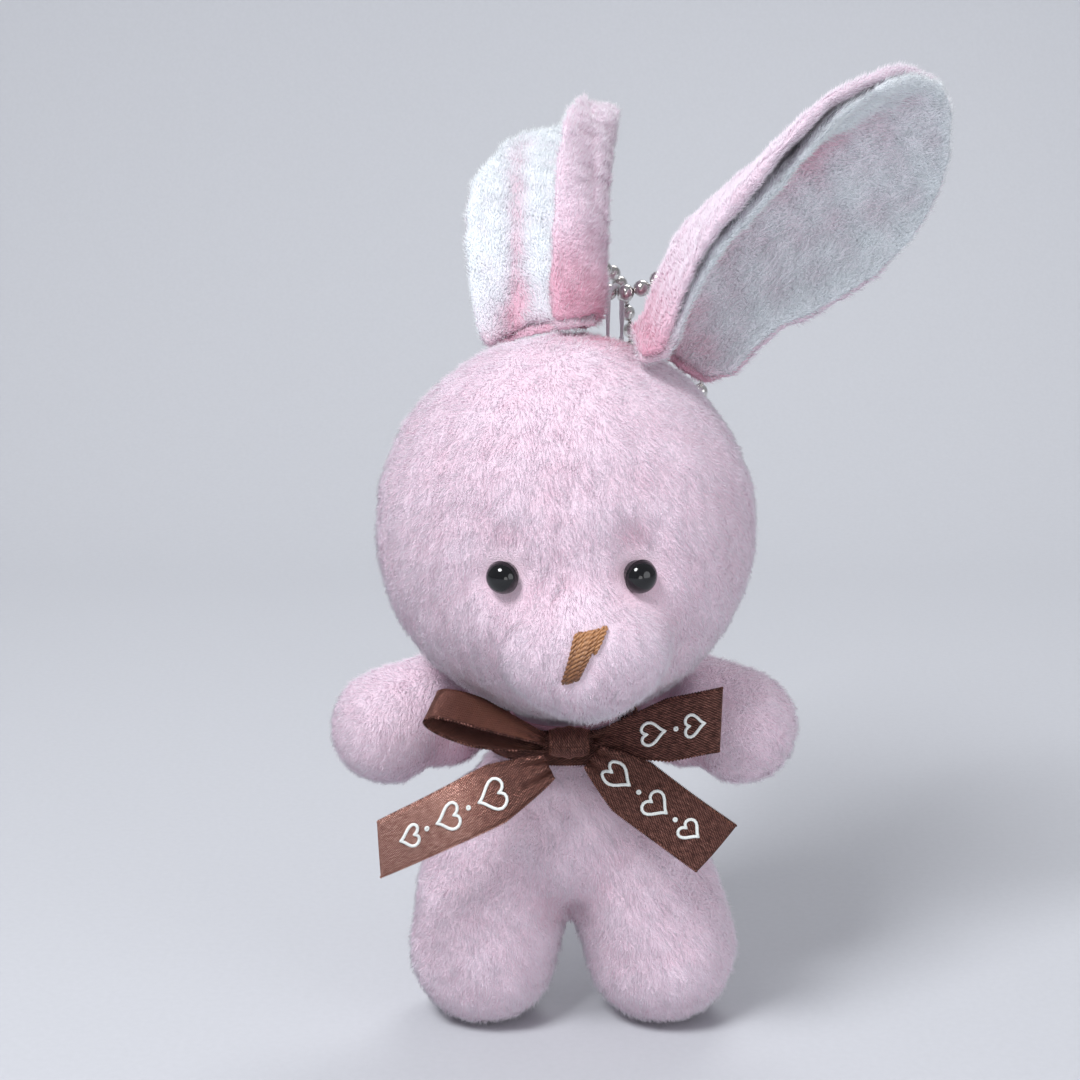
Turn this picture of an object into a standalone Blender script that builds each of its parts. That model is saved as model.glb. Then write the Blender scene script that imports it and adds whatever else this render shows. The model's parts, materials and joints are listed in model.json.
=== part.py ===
"""A small plush rabbit on a ball chain, built as separate sewn, stuffed and metal pieces.

Frame: origin at the middle of the left foot's sole, +Z up, the face looks along -Y.
Left and right are as seen from the front, so the left side is at -X.
Places below are measured from the floor under the middle of the neck. Every object's location moves them
to that origin.
"""

import math

import bmesh
import bpy
from mathutils import Vector

MM = 0.001
UP = Vector((0, 0, 1))
SIDES = {"left": -1, "right": 1}

# Driving dimensions, in millimetres unless a name says otherwise
FABRIC = 1.2            # thickness of the plush fabric without its pile
GAP = 0.35              # clearance between pieces that touch on the real toy
HEAD_CENTRE = Vector((0.0, -4.0, 84.6))
HEAD_RADII = Vector((30.4, 25.5, 30.7))
MUZZLE_CENTRE = Vector((3.0, -25.0, 70.6))
MUZZLE_RADII = Vector((12.6, 11.5, 11.4))
NECK_OPENING = 7.5      # radius of the sewn neck opening
NECK_TOP = 51.6         # height of the torso's open top
SEAM_RADIUS = 0.4       # half the thickness of the neck's ring of stitching
SEAM_HEIGHT = NECK_TOP + SEAM_RADIUS + 0.35
COLLAR_RADIUS = 9.7     # where the head's fabric meets the stitching
NOD_ROOM = 0.9          # room over the stitching for the head to nod
FOOT_RADIUS = 12.6
SOLE_DEPTH = 1.0        # how far each round foot is pressed flat
FEET = {"left": Vector((-13.2, -1.0, 0)), "right": Vector((16.4, -1.0, 0))}
ORIGIN = FEET["left"]
HIP_RADIUS = 12.0
HIP_CENTRE = Vector((11.0, 0.0, 30.0))
SHOULDER = Vector((17.0, 4.5, 48.0))
UPPER_ARM = Vector((21.8, 5.0, 52.2))
HAND = Vector((28.9, 2.6, 49.4))
ARM_RADII = (4.8, 9.0, 9.6)
ARM_OPENING = 3.0       # radius of the arm's sewn end
EAR_LENGTH = 60.0
EAR_HALF_WIDTH = 20.0   # measured along the fabric, round its crease
EAR_BASE_HALF_WIDTH = 14.5
EAR_SEAT = 2.2          # height of an ear's gathered base over the head
EAR_SEATED = 0.3        # how far up its length an ear is drawn down to the head
EAR_WIDEST = 0.55       # how far up its length an ear is widest
EAR_CREASE = 6.0        # how wide the bend at the crease is
EAR_TIP_STOP = 0.996    # stops short of the very tip, where the leaf has no width
EAR_LAYER = 1.0         # thickness of each of an ear's two fabric layers
EYE_RADIUS = 2.4
EYE_SEAT = 0.9          # the dome's height, and the radius of its flat back, as parts of its radius
EYE_RIM = 0.35          # straight edge below the dome
POST_RADIUS = 0.6       # the post behind each eye, and the washer pressed onto it
POST_LENGTH = 5.0
WASHER_RADIUS = 3.0
WASHER_DEPTH = 3.1
WASHER_THICKNESS = 0.8
EYE_X = 9.8             # from the middle of the face
EYE_Z = 82.3
FACE_X = 0.7            # the face is turned this much to the right
NOSE_TOP = Vector((4.0, 0, 75.8))       # the wedge of stitching runs down from here
NOSE_RUN = Vector((-3.2, 0, -7.6))
NOSE_HALF_WIDTHS = (2.6, 1.5)           # at its top and at its bottom
NOSE_THICKNESS = 0.7
RIBBON_WIDTH = 9.4
RIBBON_THICKNESS = 0.45
RIBBON_RING = (11.7, 11.2)      # half-width and half-depth of the band round the neck
RIBBON_HEIGHT = 50.0
RIBBON_HALF_BAND = 2.4          # the band is gathered to half of the ribbon's width
KNOT_CENTRE = Vector((0.6, -15.8, 51.6))
KNOT_RADII = Vector((3.1, 2.3, 3.0))
LOOP_REACH = 4.0                # from the knot's middle to where each loop of the bow starts
LOOP_SWELL = 2.0                # how far the loop's two layers stand apart
BOW_LOOPS = (
    # side, the way it points, the way its flat faces, length
    ("left", Vector((-0.94, -0.10, 0.22)), Vector((0.12, -0.22, 0.97)), 18.0),
    ("right", Vector((0.95, -0.07, 0.22)), Vector((-0.15, -0.95, 0.25)), 20.0),
)
TAILS = (
    # side, root, the way it hangs, length, how far it bows forward, slant of its cut end
    ("left", Vector((-2.6, -19.0, 49.6)), Vector((-0.91, -0.06, -0.38)), 29.5, 1.8, -1.6),
    ("right", Vector((4.2, -18.2, 51.0)), Vector((0.78, -0.02, -0.62)), 24.5, 1.5, -0.4),
)
TAIL_FLAT = Vector((0.0, -1.0, 0.12))
CORD_RADIUS = 0.55              # the sewn hanging loop's cord
CORD_HALF_WIDTH = 2.3           # of the loop itself
BALL_RADIUS = 1.2
ROD_RADIUS = 0.32
CHAIN_PITCH = 3.35
CHAIN_PAIRS = 15                # balls on each of the two strands
CHAIN_HEADING = math.radians(26.0)      # the loop leans this far from +Y towards +X
CHAIN_WAY = Vector((math.sin(CHAIN_HEADING), math.cos(CHAIN_HEADING), 0))
CHAIN_SIDE = Vector((math.cos(CHAIN_HEADING), -math.sin(CHAIN_HEADING), 0))
CHAIN_TOP = Vector((8.2, 11.4, 120.0))  # where the chain hangs in the loop of cord
CHAIN_START = math.radians(38.0)        # it leaves rising, and ends hanging down
CHAIN_FALL = math.radians(-82.0)
CHAIN_BEND = 27.0                       # length of chain over which it turns down
TURN_RADIUS = 6.5                       # tightest bend that the ball chain makes
CONNECTOR_REACH = 2.0                   # half the chain held in the connector
CONNECTOR_HALF_LENGTH = 3.4
CONNECTOR_RADIUS = 1.9
CONNECTOR_BORE = 1.56
FAR = 80.0                              # past the edge of everything, for cutters


def clear_scene():
    for old in list(bpy.data.objects):
        bpy.data.objects.remove(old)


def material(name, colour, roughness, metallic=0.0):
    """A plain Principled material."""
    made = bpy.data.materials.new(name)
    made.use_nodes = True
    shader = made.node_tree.nodes["Principled BSDF"]
    shader.inputs["Base Color"].default_value = (*colour, 1.0)
    shader.inputs["Roughness"].default_value = roughness
    shader.inputs["Metallic"].default_value = metallic
    return made


def add_mesh(name, points, faces, look=None):
    """An object from points in millimetres, with its faces turned outwards."""
    mesh = bpy.data.meshes.new(name)
    mesh.from_pydata([Vector(p) * MM for p in points], [], faces)
    work = bmesh.new()
    work.from_mesh(mesh)
    bmesh.ops.recalc_face_normals(work, faces=work.faces)
    work.to_mesh(mesh)
    work.free()
    mesh.shade_smooth()
    obj = bpy.data.objects.new(name, mesh)
    obj.location = -ORIGIN * MM
    bpy.context.scene.collection.objects.link(obj)
    if look:
        mesh.materials.append(look)
    return obj


def as_cutter(obj):
    obj.hide_render = True
    obj.display_type = "WIRE"
    return obj


def combine(obj, other, operation):
    """Adds an exact Boolean of obj with a helper shape."""
    modifier = obj.modifiers.new(other.name, "BOOLEAN")
    modifier.operation = operation
    modifier.solver = "EXACT"
    modifier.object = as_cutter(other)
    return obj


def across(axis):
    """Two unit vectors square to an axis and to each other."""
    side = Vector((0, 0, 1)) if abs(axis.z) < 0.9 else Vector((0, 1, 0))
    first = side.cross(axis).normalized()
    return first, axis.cross(first).normalized()


def loft(name, stations, start, end, look=None, segments=20):
    """A closed skin over elliptical stations, with a pole at each end. A station is its centre and its two
    half-axes."""
    points = []
    for centre, first, second in stations:
        for k in range(segments):
            turn = 2 * math.pi * k / segments
            points.append(centre + first * math.cos(turn) + second * math.sin(turn))
    faces = []
    for row in range(len(stations) - 1):
        for k in range(segments):
            a = row * segments + k
            b = row * segments + (k + 1) % segments
            faces.append((a, b, b + segments, a + segments))
    last = (len(stations) - 1) * segments
    points += [start, end]
    for k in range(segments):
        after = (k + 1) % segments
        faces.append((len(points) - 2, after, k))
        faces.append((len(points) - 1, last + k, last + after))
    return add_mesh(name, points, faces, look)


def ellipsoid(name, centre, radii, look=None, segments=24, rows=11):
    """A closed ball with three radii, in level rows."""
    stations = []
    for row in range(1, rows + 1):
        lift = math.pi * (row / (rows + 1) - 0.5)
        at = centre + Vector((0, 0, radii.z * math.sin(lift)))
        flat = math.cos(lift)
        stations.append((at, Vector((radii.x * flat, 0, 0)), Vector((0, radii.y * flat, 0))))
    up = Vector((0, 0, radii.z))
    return loft(name, stations, centre - up, centre + up, look, segments)


def limb(name, centres, radii, look=None, segments=16, end_rows=4):
    """A stuffed limb: balls of the given radii joined along their centres."""
    first_axis = (centres[1] - centres[0]).normalized()
    last_axis = (centres[-1] - centres[-2]).normalized()
    stations = []
    for row in range(1, end_rows):
        lift = math.pi / 2 * (1 - row / end_rows)
        u, v = across(first_axis)
        at = centres[0] - first_axis * radii[0] * math.sin(lift)
        stations.append((at, u * radii[0] * math.cos(lift), v * radii[0] * math.cos(lift)))
    for k, (centre, radius) in enumerate(zip(centres, radii, strict=True)):
        axis = (centres[min(k + 1, len(centres) - 1)] - centres[max(k - 1, 0)]).normalized()
        u, v = across(axis)
        stations.append((centre, u * radius, v * radius))
    for row in range(1, end_rows):
        lift = math.pi / 2 * row / end_rows
        u, v = across(last_axis)
        at = centres[-1] + last_axis * radii[-1] * math.sin(lift)
        stations.append((at, u * radii[-1] * math.cos(lift), v * radii[-1] * math.cos(lift)))
    start = centres[0] - first_axis * radii[0]
    end = centres[-1] + last_axis * radii[-1]
    return loft(name, stations, start, end, look, segments)


def lathe(name, profile, base, axis, look=None, segments=16):
    """A turned piece. The profile is (distance along the axis, radius) from one end to the other."""
    u, v = across(axis)
    stations = [(base + axis * along, u * radius, v * radius) for along, radius in profile]
    start = base + axis * profile[0][0]
    end = base + axis * profile[-1][0]
    return loft(name, stations, start, end, look, segments)


def slab(name, low, high):
    """A wide level block between two heights, for cutting."""
    corners = [Vector((x, y, z)) for x in (-FAR, FAR) for y in (-FAR, FAR) for z in (low, high)]
    faces = [(0, 1, 3, 2), (4, 6, 7, 5), (0, 4, 5, 1), (2, 3, 7, 6), (0, 2, 6, 4), (1, 5, 7, 3)]
    return add_mesh(name, corners, faces)


def curved_plate(name, surface, inner, outer, look, rows, columns):
    """A closed sheet of fabric. surface(s, q) is its middle, for s in 0..1 and q in -1..1. Its two faces
    lie at the distances inner and outer along the surface's normal."""
    step = 1e-3

    def shifted(s, q, distance):
        along = surface(min(s + step, 1.0), q) - surface(max(s - step, 0.0), q)
        over = surface(s, min(q + step, 1.0)) - surface(s, max(q - step, -1.0))
        return surface(s, q) + along.cross(over).normalized() * distance

    points = []
    for distance in (inner, outer):
        for row in range(rows + 1):
            for column in range(columns + 1):
                points.append(shifted(row / rows, 2 * column / columns - 1, distance))
    width = columns + 1
    layer = (rows + 1) * width
    faces = []
    for row in range(rows):
        for column in range(columns):
            a = row * width + column
            faces.append((a, a + 1, a + width + 1, a + width))
            faces.append((layer + a, layer + a + width, layer + a + width + 1, layer + a + 1))
    rim = [(0, c) for c in range(columns)] + [(r, columns) for r in range(rows)]
    rim += [(rows, c) for c in range(columns, 0, -1)] + [(r, 0) for r in range(rows, 0, -1)]
    for k, (r, c) in enumerate(rim):
        r_next, c_next = rim[(k + 1) % len(rim)]
        a, b = r * width + c, r_next * width + c_next
        faces.append((a, b, layer + b, layer + a))
    return add_mesh(name, points, faces, look)


def mirrored(point, side):
    """The point on the side given as -1 for left or 1 for right."""
    return Vector((point.x * side, point.y, point.z))


# ---- body ----

TORSO_SECTIONS = (
    # height, half-width, half-depth
    (23.0, 9.0, 8.0),
    (27.0, 16.0, 11.5),
    (32.0, 19.6, 13.4),
    (37.5, 18.2, 13.2),
    (43.0, 14.2, 11.8),
    (47.5, 11.2, 10.4),
    (NECK_TOP, 10.0, 9.7),
)


def torso_form(name, inset, look=None):
    """The pear-shaped torso, drawn in by the inset."""
    stations = []
    for height, wide, deep in TORSO_SECTIONS:
        across_x, across_y = Vector((wide - inset, 0, 0)), Vector((0, deep - inset, 0))
        stations.append((UP * height, across_x, across_y))
    bottom = UP * (TORSO_SECTIONS[0][0] - 2.0 + inset)
    return loft(name, stations, bottom, UP * NECK_TOP, look, 24)


def leg_form(side_name, part_name, inset):
    """A fat leg from the hip to its round foot, drawn in by the inset."""
    foot = FEET[side_name] + Vector((0, 0, FOOT_RADIUS - SOLE_DEPTH))
    centres = (mirrored(HIP_CENTRE, SIDES[side_name]), foot)
    radii = (HIP_RADIUS - inset, FOOT_RADIUS - inset)
    return limb(f"leg_{part_name}_{side_name}", centres, radii, segments=20, end_rows=5)


def make_body(pink, fibre):
    """One sewn bag for the torso and both legs, open at the neck, and its filling."""
    cover = torso_form("body_cover", 0.0, pink)
    for side in SIDES:
        combine(cover, leg_form(side, "outside", 0.0), "UNION")
    combine(cover, torso_form("torso_inside", FABRIC), "DIFFERENCE")
    for side in SIDES:
        combine(cover, leg_form(side, "inside", FABRIC), "DIFFERENCE")
    mouth = lathe("neck_mouth", ((-4, NECK_OPENING), (4, NECK_OPENING)), UP * NECK_TOP, UP, segments=20)
    combine(cover, mouth, "DIFFERENCE")
    combine(cover, slab("floor_cut", -FAR, 0.0), "DIFFERENCE")

    inset = FABRIC + GAP
    filling = torso_form("body_stuffing", inset, fibre)
    for side in SIDES:
        combine(filling, leg_form(side, "filling", inset), "UNION")
    combine(filling, slab("sole_cut", -FAR, inset), "DIFFERENCE")
    combine(filling, slab("neck_cut", NECK_TOP - inset, FAR), "DIFFERENCE")


# ---- head ----

def head_surface_y(x, z):
    """Where the front of the head's ellipsoid is at x, z."""
    flat = 1 - ((x - HEAD_CENTRE.x) / HEAD_RADII.x) ** 2 - ((z - HEAD_CENTRE.z) / HEAD_RADII.z) ** 2
    return HEAD_CENTRE.y - HEAD_RADII.y * math.sqrt(flat)


def muzzle_surface_y(x, z):
    """Where the front of the muzzle's ellipsoid is at x, z."""
    flat = 1 - ((x - MUZZLE_CENTRE.x) / MUZZLE_RADII.x) ** 2 - ((z - MUZZLE_CENTRE.z) / MUZZLE_RADII.z) ** 2
    return MUZZLE_CENTRE.y - MUZZLE_RADII.y * math.sqrt(flat)


def head_top_z(x, y):
    """Where the top of the head's ellipsoid is at x, y. Outside the head it stays at its steep side."""
    flat = 1 - ((x - HEAD_CENTRE.x) / HEAD_RADII.x) ** 2 - ((y - HEAD_CENTRE.y) / HEAD_RADII.y) ** 2
    return HEAD_CENTRE.z + HEAD_RADII.z * math.sqrt(max(flat, 0.2))


def eye_place(side):
    """Where an eye's post meets the head's surface, and the way out of the head there."""
    x = FACE_X + EYE_X * side
    at = Vector((x, head_surface_y(x, EYE_Z), EYE_Z))
    out = Vector(((at[k] - HEAD_CENTRE[k]) / HEAD_RADII[k] ** 2 for k in range(3))).normalized()
    return at, out


def make_head(pink, fibre):
    """The head's fabric ball with its muzzle, open at the neck, and its filling."""
    cover = ellipsoid("head_cover", HEAD_CENTRE, HEAD_RADII, pink)
    wall = Vector((FABRIC, FABRIC, FABRIC))
    combine(cover, ellipsoid("muzzle_outside", MUZZLE_CENTRE, MUZZLE_RADII, None, 16, 7), "UNION")
    collar = UP * (SEAM_HEIGHT + SEAM_RADIUS + GAP + NOD_ROOM)
    outside = ((0, COLLAR_RADIUS), (6, COLLAR_RADIUS))
    combine(cover, lathe("collar_outside", outside, collar, UP, segments=20), "UNION")
    combine(cover, ellipsoid("head_inside", HEAD_CENTRE, HEAD_RADII - wall), "DIFFERENCE")
    combine(cover, ellipsoid("muzzle_inside", MUZZLE_CENTRE, MUZZLE_RADII - wall, None, 16, 7), "DIFFERENCE")
    inside = ((-2, NECK_OPENING), (6, NECK_OPENING))
    combine(cover, lathe("head_mouth", inside, collar, UP, segments=20), "DIFFERENCE")

    wall = wall + Vector((GAP, GAP, GAP))
    filling = ellipsoid("head_stuffing", HEAD_CENTRE, HEAD_RADII - wall, fibre)
    combine(filling, ellipsoid("muzzle_filling", MUZZLE_CENTRE, MUZZLE_RADII - wall, None, 16, 7), "UNION")
    for name, side in SIDES.items():
        at, out = eye_place(side)
        room = POST_RADIUS + GAP
        hole = lathe(f"eye_hole_{name}", ((-6, room), (3, room)), at, out, segments=10)
        combine(cover, hole, "DIFFERENCE")
        room = WASHER_RADIUS + 2 * GAP
        inside = ((-POST_LENGTH - 2 * GAP, room), (3, room))
        pocket = lathe(f"eye_pocket_{name}", inside, at, out, segments=14)
        combine(filling, pocket, "DIFFERENCE")


def make_eyes(black, nylon):
    """Two domed plastic eyes on posts, each held by a washer inside the head."""
    rows = 6
    for name, side in SIDES.items():
        at, out = eye_place(side)
        dome = [(GAP, EYE_RADIUS * EYE_SEAT)]
        for row in range(rows):
            lift = math.pi / 2 * row / rows
            height = GAP + EYE_RIM + EYE_RADIUS * EYE_SEAT * math.sin(lift)
            dome.append((height, EYE_RADIUS * math.cos(lift)))
        post = [(-POST_LENGTH, POST_RADIUS), (GAP, POST_RADIUS)]
        lathe(f"eye_{name}", post + dome, at, out, black, 14)
        faces = ((-WASHER_DEPTH - WASHER_THICKNESS, WASHER_RADIUS), (-WASHER_DEPTH, WASHER_RADIUS))
        washer = lathe(f"eye_washer_{name}", faces, at, out, nylon, 14)
        room = POST_RADIUS + GAP
        bore = lathe(f"washer_bore_{name}", ((-2 * POST_LENGTH, room), (0, room)), at, out, segments=14)
        combine(washer, bore, "DIFFERENCE")


def make_nose(thread):
    """The satin-stitched nose: a slanting wedge of thread lying on the muzzle."""
    top_half, bottom_half = NOSE_HALF_WIDTHS
    half = NOSE_THICKNESS / 2

    def surface(s, q):
        middle = NOSE_TOP + NOSE_RUN * s
        x = middle.x + q * (top_half + (bottom_half - top_half) * s)
        z = middle.z + 0.5 * q
        return Vector((x, muzzle_surface_y(x, z) - GAP - half - 0.1, z))
    curved_plate("nose_embroidery", surface, -half, half, thread, 6, 4)


# ---- arms ----

def arm_form(name, side, inset, look=None):
    """A short arm from the shoulder to its round hand, drawn in by the inset."""
    centres = [mirrored(p, side) for p in (SHOULDER, UPPER_ARM, HAND)]
    radii = [r - inset for r in ARM_RADII]
    return limb(name, centres, radii, look)


def make_arms(pink, fibre):
    """Two stuffed arms, each open where it is sewn to the shoulder. The sewn end is round about the joint, so
    that the arm swings clear of the torso."""
    for name, side in SIDES.items():
        cover = arm_form(f"arm_cover_{name}", side, 0.0, pink)
        combine(cover, arm_form(f"arm_inside_{name}", side, FABRIC), "DIFFERENCE")
        into = mirrored(SHOULDER - UPPER_ARM, side).normalized()
        inside = ((0, ARM_OPENING), (2 * ARM_RADII[0], ARM_OPENING))
        mouth = lathe(f"arm_mouth_{name}", inside, mirrored(SHOULDER, side), into)
        combine(cover, mouth, "DIFFERENCE")
        arm_form(f"arm_stuffing_{name}", side, FABRIC + GAP, fibre)


# ---- ears ----

class Ear:
    """A leaf of fabric creased along its length into a trough, drawn in at its base."""

    def __init__(self, base, way, droop, open_way, folds, crease):
        self.base = base
        self.way = way.normalized()     # the way the ear leaves the head
        self.droop = droop              # how far its tip has fallen from that way
        self.open_way = open_way        # what the hollow side faces
        self.folds = folds              # how far each side is folded up at the base and at the tip, in degrees
        self.crease = crease            # where the crease runs, from -1 to 1 across the width

    def half_width(self, s):
        """Half the fabric's width at this part of the length, rounded off to the tip."""
        swell = math.sin(math.pi / 2 * min(s / EAR_WIDEST, 1.0))
        tip = max(0.0, (s - EAR_WIDEST) / (1 - EAR_WIDEST))
        widened = EAR_BASE_HALF_WIDTH + (EAR_HALF_WIDTH - EAR_BASE_HALF_WIDTH) * swell
        return widened * math.sqrt(1 - tip ** 2.4)

    def section(self, s, q):
        """How far a point lies to the side of the crease and in front of it."""
        steps = 10
        part = (q - self.crease) * self.half_width(s) / steps
        at_base, at_tip = self.folds
        fold = math.radians(at_base + (at_tip - at_base) * min(s / 0.7, 1.0))
        aside = ahead = 0.0
        for k in range(steps):
            turn = fold * math.tanh(part * (k + 0.5) / EAR_CREASE)
            aside += part * math.cos(turn)
            ahead += part * math.sin(turn)
        return aside, ahead

    def surface(self, s, q):
        s = s * EAR_TIP_STOP
        aside, ahead = self.section(s, q)
        tangent = (self.way * EAR_LENGTH + self.droop * 2 * s).normalized()
        front = (self.open_way - tangent * self.open_way.dot(tangent)).normalized()
        centre = self.base + self.way * EAR_LENGTH * s + self.droop * s ** 2
        point = centre + tangent.cross(front) * aside + front * ahead
        seating = max(0.0, 1 - s / EAR_SEATED) ** 2
        point.z += seating * (head_top_z(point.x, point.y) + EAR_SEAT - point.z)
        return point


def ears():
    """The left ear leans back, folded shut to its side. The right one stands out, open to the front."""
    left = Ear(
        base=Vector((4.9, -0.6, 116.2)),
        way=Vector((0.03, 0.30, 0.95)),
        droop=Vector((1.5, 26.0, -25.0)),
        open_way=Vector((-0.95, 0.12, 0.05)),
        folds=(84.0, 76.0),
        crease=0.4,
    )
    right = Ear(
        base=Vector((12.2, 3.4, 115.6)),
        way=Vector((0.77, -0.03, 0.62)),
        droop=Vector((0.0, 2.0, -1.0)),
        open_way=Vector((0.36, -0.80, -0.48)),
        folds=(66.0, 34.0),
        crease=0.22,
    )
    return (("left", left), ("right", right))


def make_ears(pink, white):
    """Each ear is a pink back and a white lining sewn round the edge."""
    for name, ear in ears():
        curved_plate(f"ear_back_{name}", ear.surface, 0.0, EAR_LAYER, pink, 14, 14)
        curved_plate(f"ear_lining_{name}", ear.surface, -GAP - EAR_LAYER, -GAP, white, 14, 14)


# ---- ribbon ----

def ribbon_sheet(name, surface, satin, rows):
    curved_plate(name, surface, -RIBBON_THICKNESS / 2, RIBBON_THICKNESS / 2, satin, rows, 1)


def make_neck_ribbon(satin):
    """The band of ribbon round the neck, which follows its slope. Its two ends don't quite meet."""
    def surface(s, q):
        turn = 2 * math.pi * s * 0.985
        wide, deep = RIBBON_RING[0] - 0.7 * q, RIBBON_RING[1] - 0.5 * q
        return Vector((wide * math.sin(turn), deep * math.cos(turn), RIBBON_HEIGHT + RIBBON_HALF_BAND * q))
    ribbon_sheet("neck_ribbon", surface, satin, 28)


def loop_surface(root, way, flat, length):
    """A bow loop: out along one side, round the end and back, gathered at the knot."""
    width_way = way.cross(flat)
    root_apart = RIBBON_THICKNESS           # keeps the two layers apart at the knot

    def surface(s, q):
        turn = math.pi * (2 * s - 1)
        reach = (1 + math.cos(turn)) / 2
        apart = LOOP_SWELL * math.sin(turn) * (0.25 + 0.75 * reach) - root_apart * (1 - 2 * s)
        half = RIBBON_WIDTH / 2 * (0.35 + 0.65 * min(1.0, reach * 1.6))
        return root + way * reach * length - flat * apart + width_way * half * q
    return surface


def make_bow(satin):
    """The knot and its two loops."""
    ellipsoid("bow_knot", KNOT_CENTRE, KNOT_RADII, satin, 12, 5)
    for name, way, flat, length in BOW_LOOPS:
        way = way.normalized()
        flat = (flat - way * flat.dot(way)).normalized()
        root = KNOT_CENTRE + Vector((LOOP_REACH * SIDES[name], 0.4, 0.4))
        ribbon_sheet(f"bow_loop_{name}", loop_surface(root, way, flat, length), satin, 16)


def tail_surface(root, way, length, bow, slant):
    """A hanging end of ribbon, bowed forward, with a slanting cut."""
    width_way = way.cross(TAIL_FLAT).normalized()
    forward = TAIL_FLAT.normalized()

    def surface(s, q):
        half = RIBBON_WIDTH / 2 * (0.45 + 0.55 * min(1.0, s * 3.5))
        out = s * (length + slant * q)
        return root + way * out + forward * bow * math.sin(math.pi * 0.8 * s) + width_way * half * q
    return surface


def make_tails(satin):
    for name, root, way, length, bow, slant in TAILS:
        surface = tail_surface(root, way.normalized(), length, bow, slant)
        ribbon_sheet(f"ribbon_tail_{name}", surface, satin, 8)


# ---- stitching, hanging loop and ball chain ----

def ring_tube(name, centres, radius, flat, look, segments=8):
    """A closed ring of round cord through centres that lie in a plane square to flat."""
    count = len(centres)
    points = []
    for k, centre in enumerate(centres):
        axis = (centres[(k + 1) % count] - centres[k - 1]).normalized()
        out = axis.cross(flat)
        for j in range(segments):
            turn = 2 * math.pi * j / segments
            points.append(centre + (flat * math.cos(turn) + out * math.sin(turn)) * radius)
    faces = []
    for k in range(count):
        for j in range(segments):
            a = k * segments + j
            b = k * segments + (j + 1) % segments
            c = (k + 1) % count * segments
            faces.append((a, b, c + (j + 1) % segments, c + j))
    return add_mesh(name, points, faces, look)


def make_hanging_loop(white):
    """The loop of white cord sewn into the seam at the top of the head."""
    top = CHAIN_TOP.z + CORD_RADIUS + ROD_RADIUS + 0.3
    low = head_top_z(CHAIN_TOP.x, CHAIN_TOP.y - CORD_HALF_WIDTH) + CORD_RADIUS + GAP
    half = (top - low) / 2 - CORD_HALF_WIDTH
    middle = Vector((CHAIN_TOP.x, CHAIN_TOP.y, (top + low) / 2))
    count = 16
    centres = []
    for k in range(count):
        turn = 2 * math.pi * (k + 0.5) / count
        rise = CORD_HALF_WIDTH * math.sin(turn) + math.copysign(half, math.sin(turn))
        centres.append(middle + CHAIN_WAY * CORD_HALF_WIDTH * math.cos(turn) + UP * rise)
    ring_tube("hanging_loop", centres, CORD_RADIUS, CHAIN_SIDE, white)


def chain_centre(along):
    """The middle of the hanging chain, this far down from the cord: over the back of the head, then down."""
    turning = (CHAIN_START - CHAIN_FALL) / CHAIN_BEND
    curved = min(along, CHAIN_BEND)
    angle = CHAIN_START - turning * curved
    out = (math.sin(CHAIN_START) - math.sin(angle)) / turning
    rise = (math.cos(angle) - math.cos(CHAIN_START)) / turning
    straight = along - curved
    out += straight * math.cos(CHAIN_FALL)
    rise += straight * math.sin(CHAIN_FALL)
    return CHAIN_TOP + CHAIN_WAY * out + UP * rise


def chain_place(length, side):
    """A point on one strand, at this length of chain from the cord. The strands part on a round bend, run
    side by side, and meet again at the connector."""
    quarter = TURN_RADIUS * math.pi / 2
    total = CHAIN_PITCH * (CHAIN_PAIRS - 0.5) + CONNECTOR_REACH
    from_end = total - length
    straight = total - 2 * quarter
    if length < quarter:
        turn = length / TURN_RADIUS
        apart, along = TURN_RADIUS * math.sin(turn), TURN_RADIUS * (1 - math.cos(turn))
    elif from_end < quarter:
        turn = from_end / TURN_RADIUS
        apart = TURN_RADIUS * math.sin(turn)
        along = 2 * TURN_RADIUS + straight - TURN_RADIUS * (1 - math.cos(turn))
    else:
        apart, along = TURN_RADIUS, TURN_RADIUS + length - quarter
    return chain_centre(along) + CHAIN_SIDE * apart * side


def make_ball(name, at, towards, rod_end, steel):
    """A chain ball with its link, which reaches up to the ball before it."""
    axis = (towards - at).normalized()
    profile = []
    for row in range(1, 5):
        lift = math.pi * (row / 5 - 0.5)
        profile.append((BALL_RADIUS * math.sin(lift), BALL_RADIUS * math.cos(lift)))
    neck = math.sqrt(BALL_RADIUS ** 2 - ROD_RADIUS ** 2)
    profile.append((neck, ROD_RADIUS))
    profile.append((rod_end, ROD_RADIUS))
    u, v = across(axis)
    stations = [(at + axis * d, u * r, v * r) for d, r in profile]
    return loft(name, stations, at - axis * BALL_RADIUS, at + axis * rod_end, steel, 8)


def make_chain(steel):
    """Two strands of balls from the cord down to the connector. Each ball carries the link above it.
    Returns the point midway between the last two balls."""
    balls = {}
    for side in (-1, 1):
        for k in range(CHAIN_PAIRS):
            balls[k, side] = chain_place(CHAIN_PITCH * (k + 0.5), side)
    for (k, side), at in balls.items():
        strand = "a" if side < 0 else "b"
        before = balls[k - 1, side] if k else balls[0, -side]
        reach = (before - at).length - BALL_RADIUS - 0.25
        if k == 0 and side > 0:
            reach = BALL_RADIUS + 0.1       # the top link belongs to the other strand's first ball
        make_ball(f"chain_ball_{strand}{k + 1:02d}", at, before, reach, steel)
    ends = [balls[CHAIN_PAIRS - 1, side] for side in (-1, 1)]
    return (ends[0] + ends[1]) / 2


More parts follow.
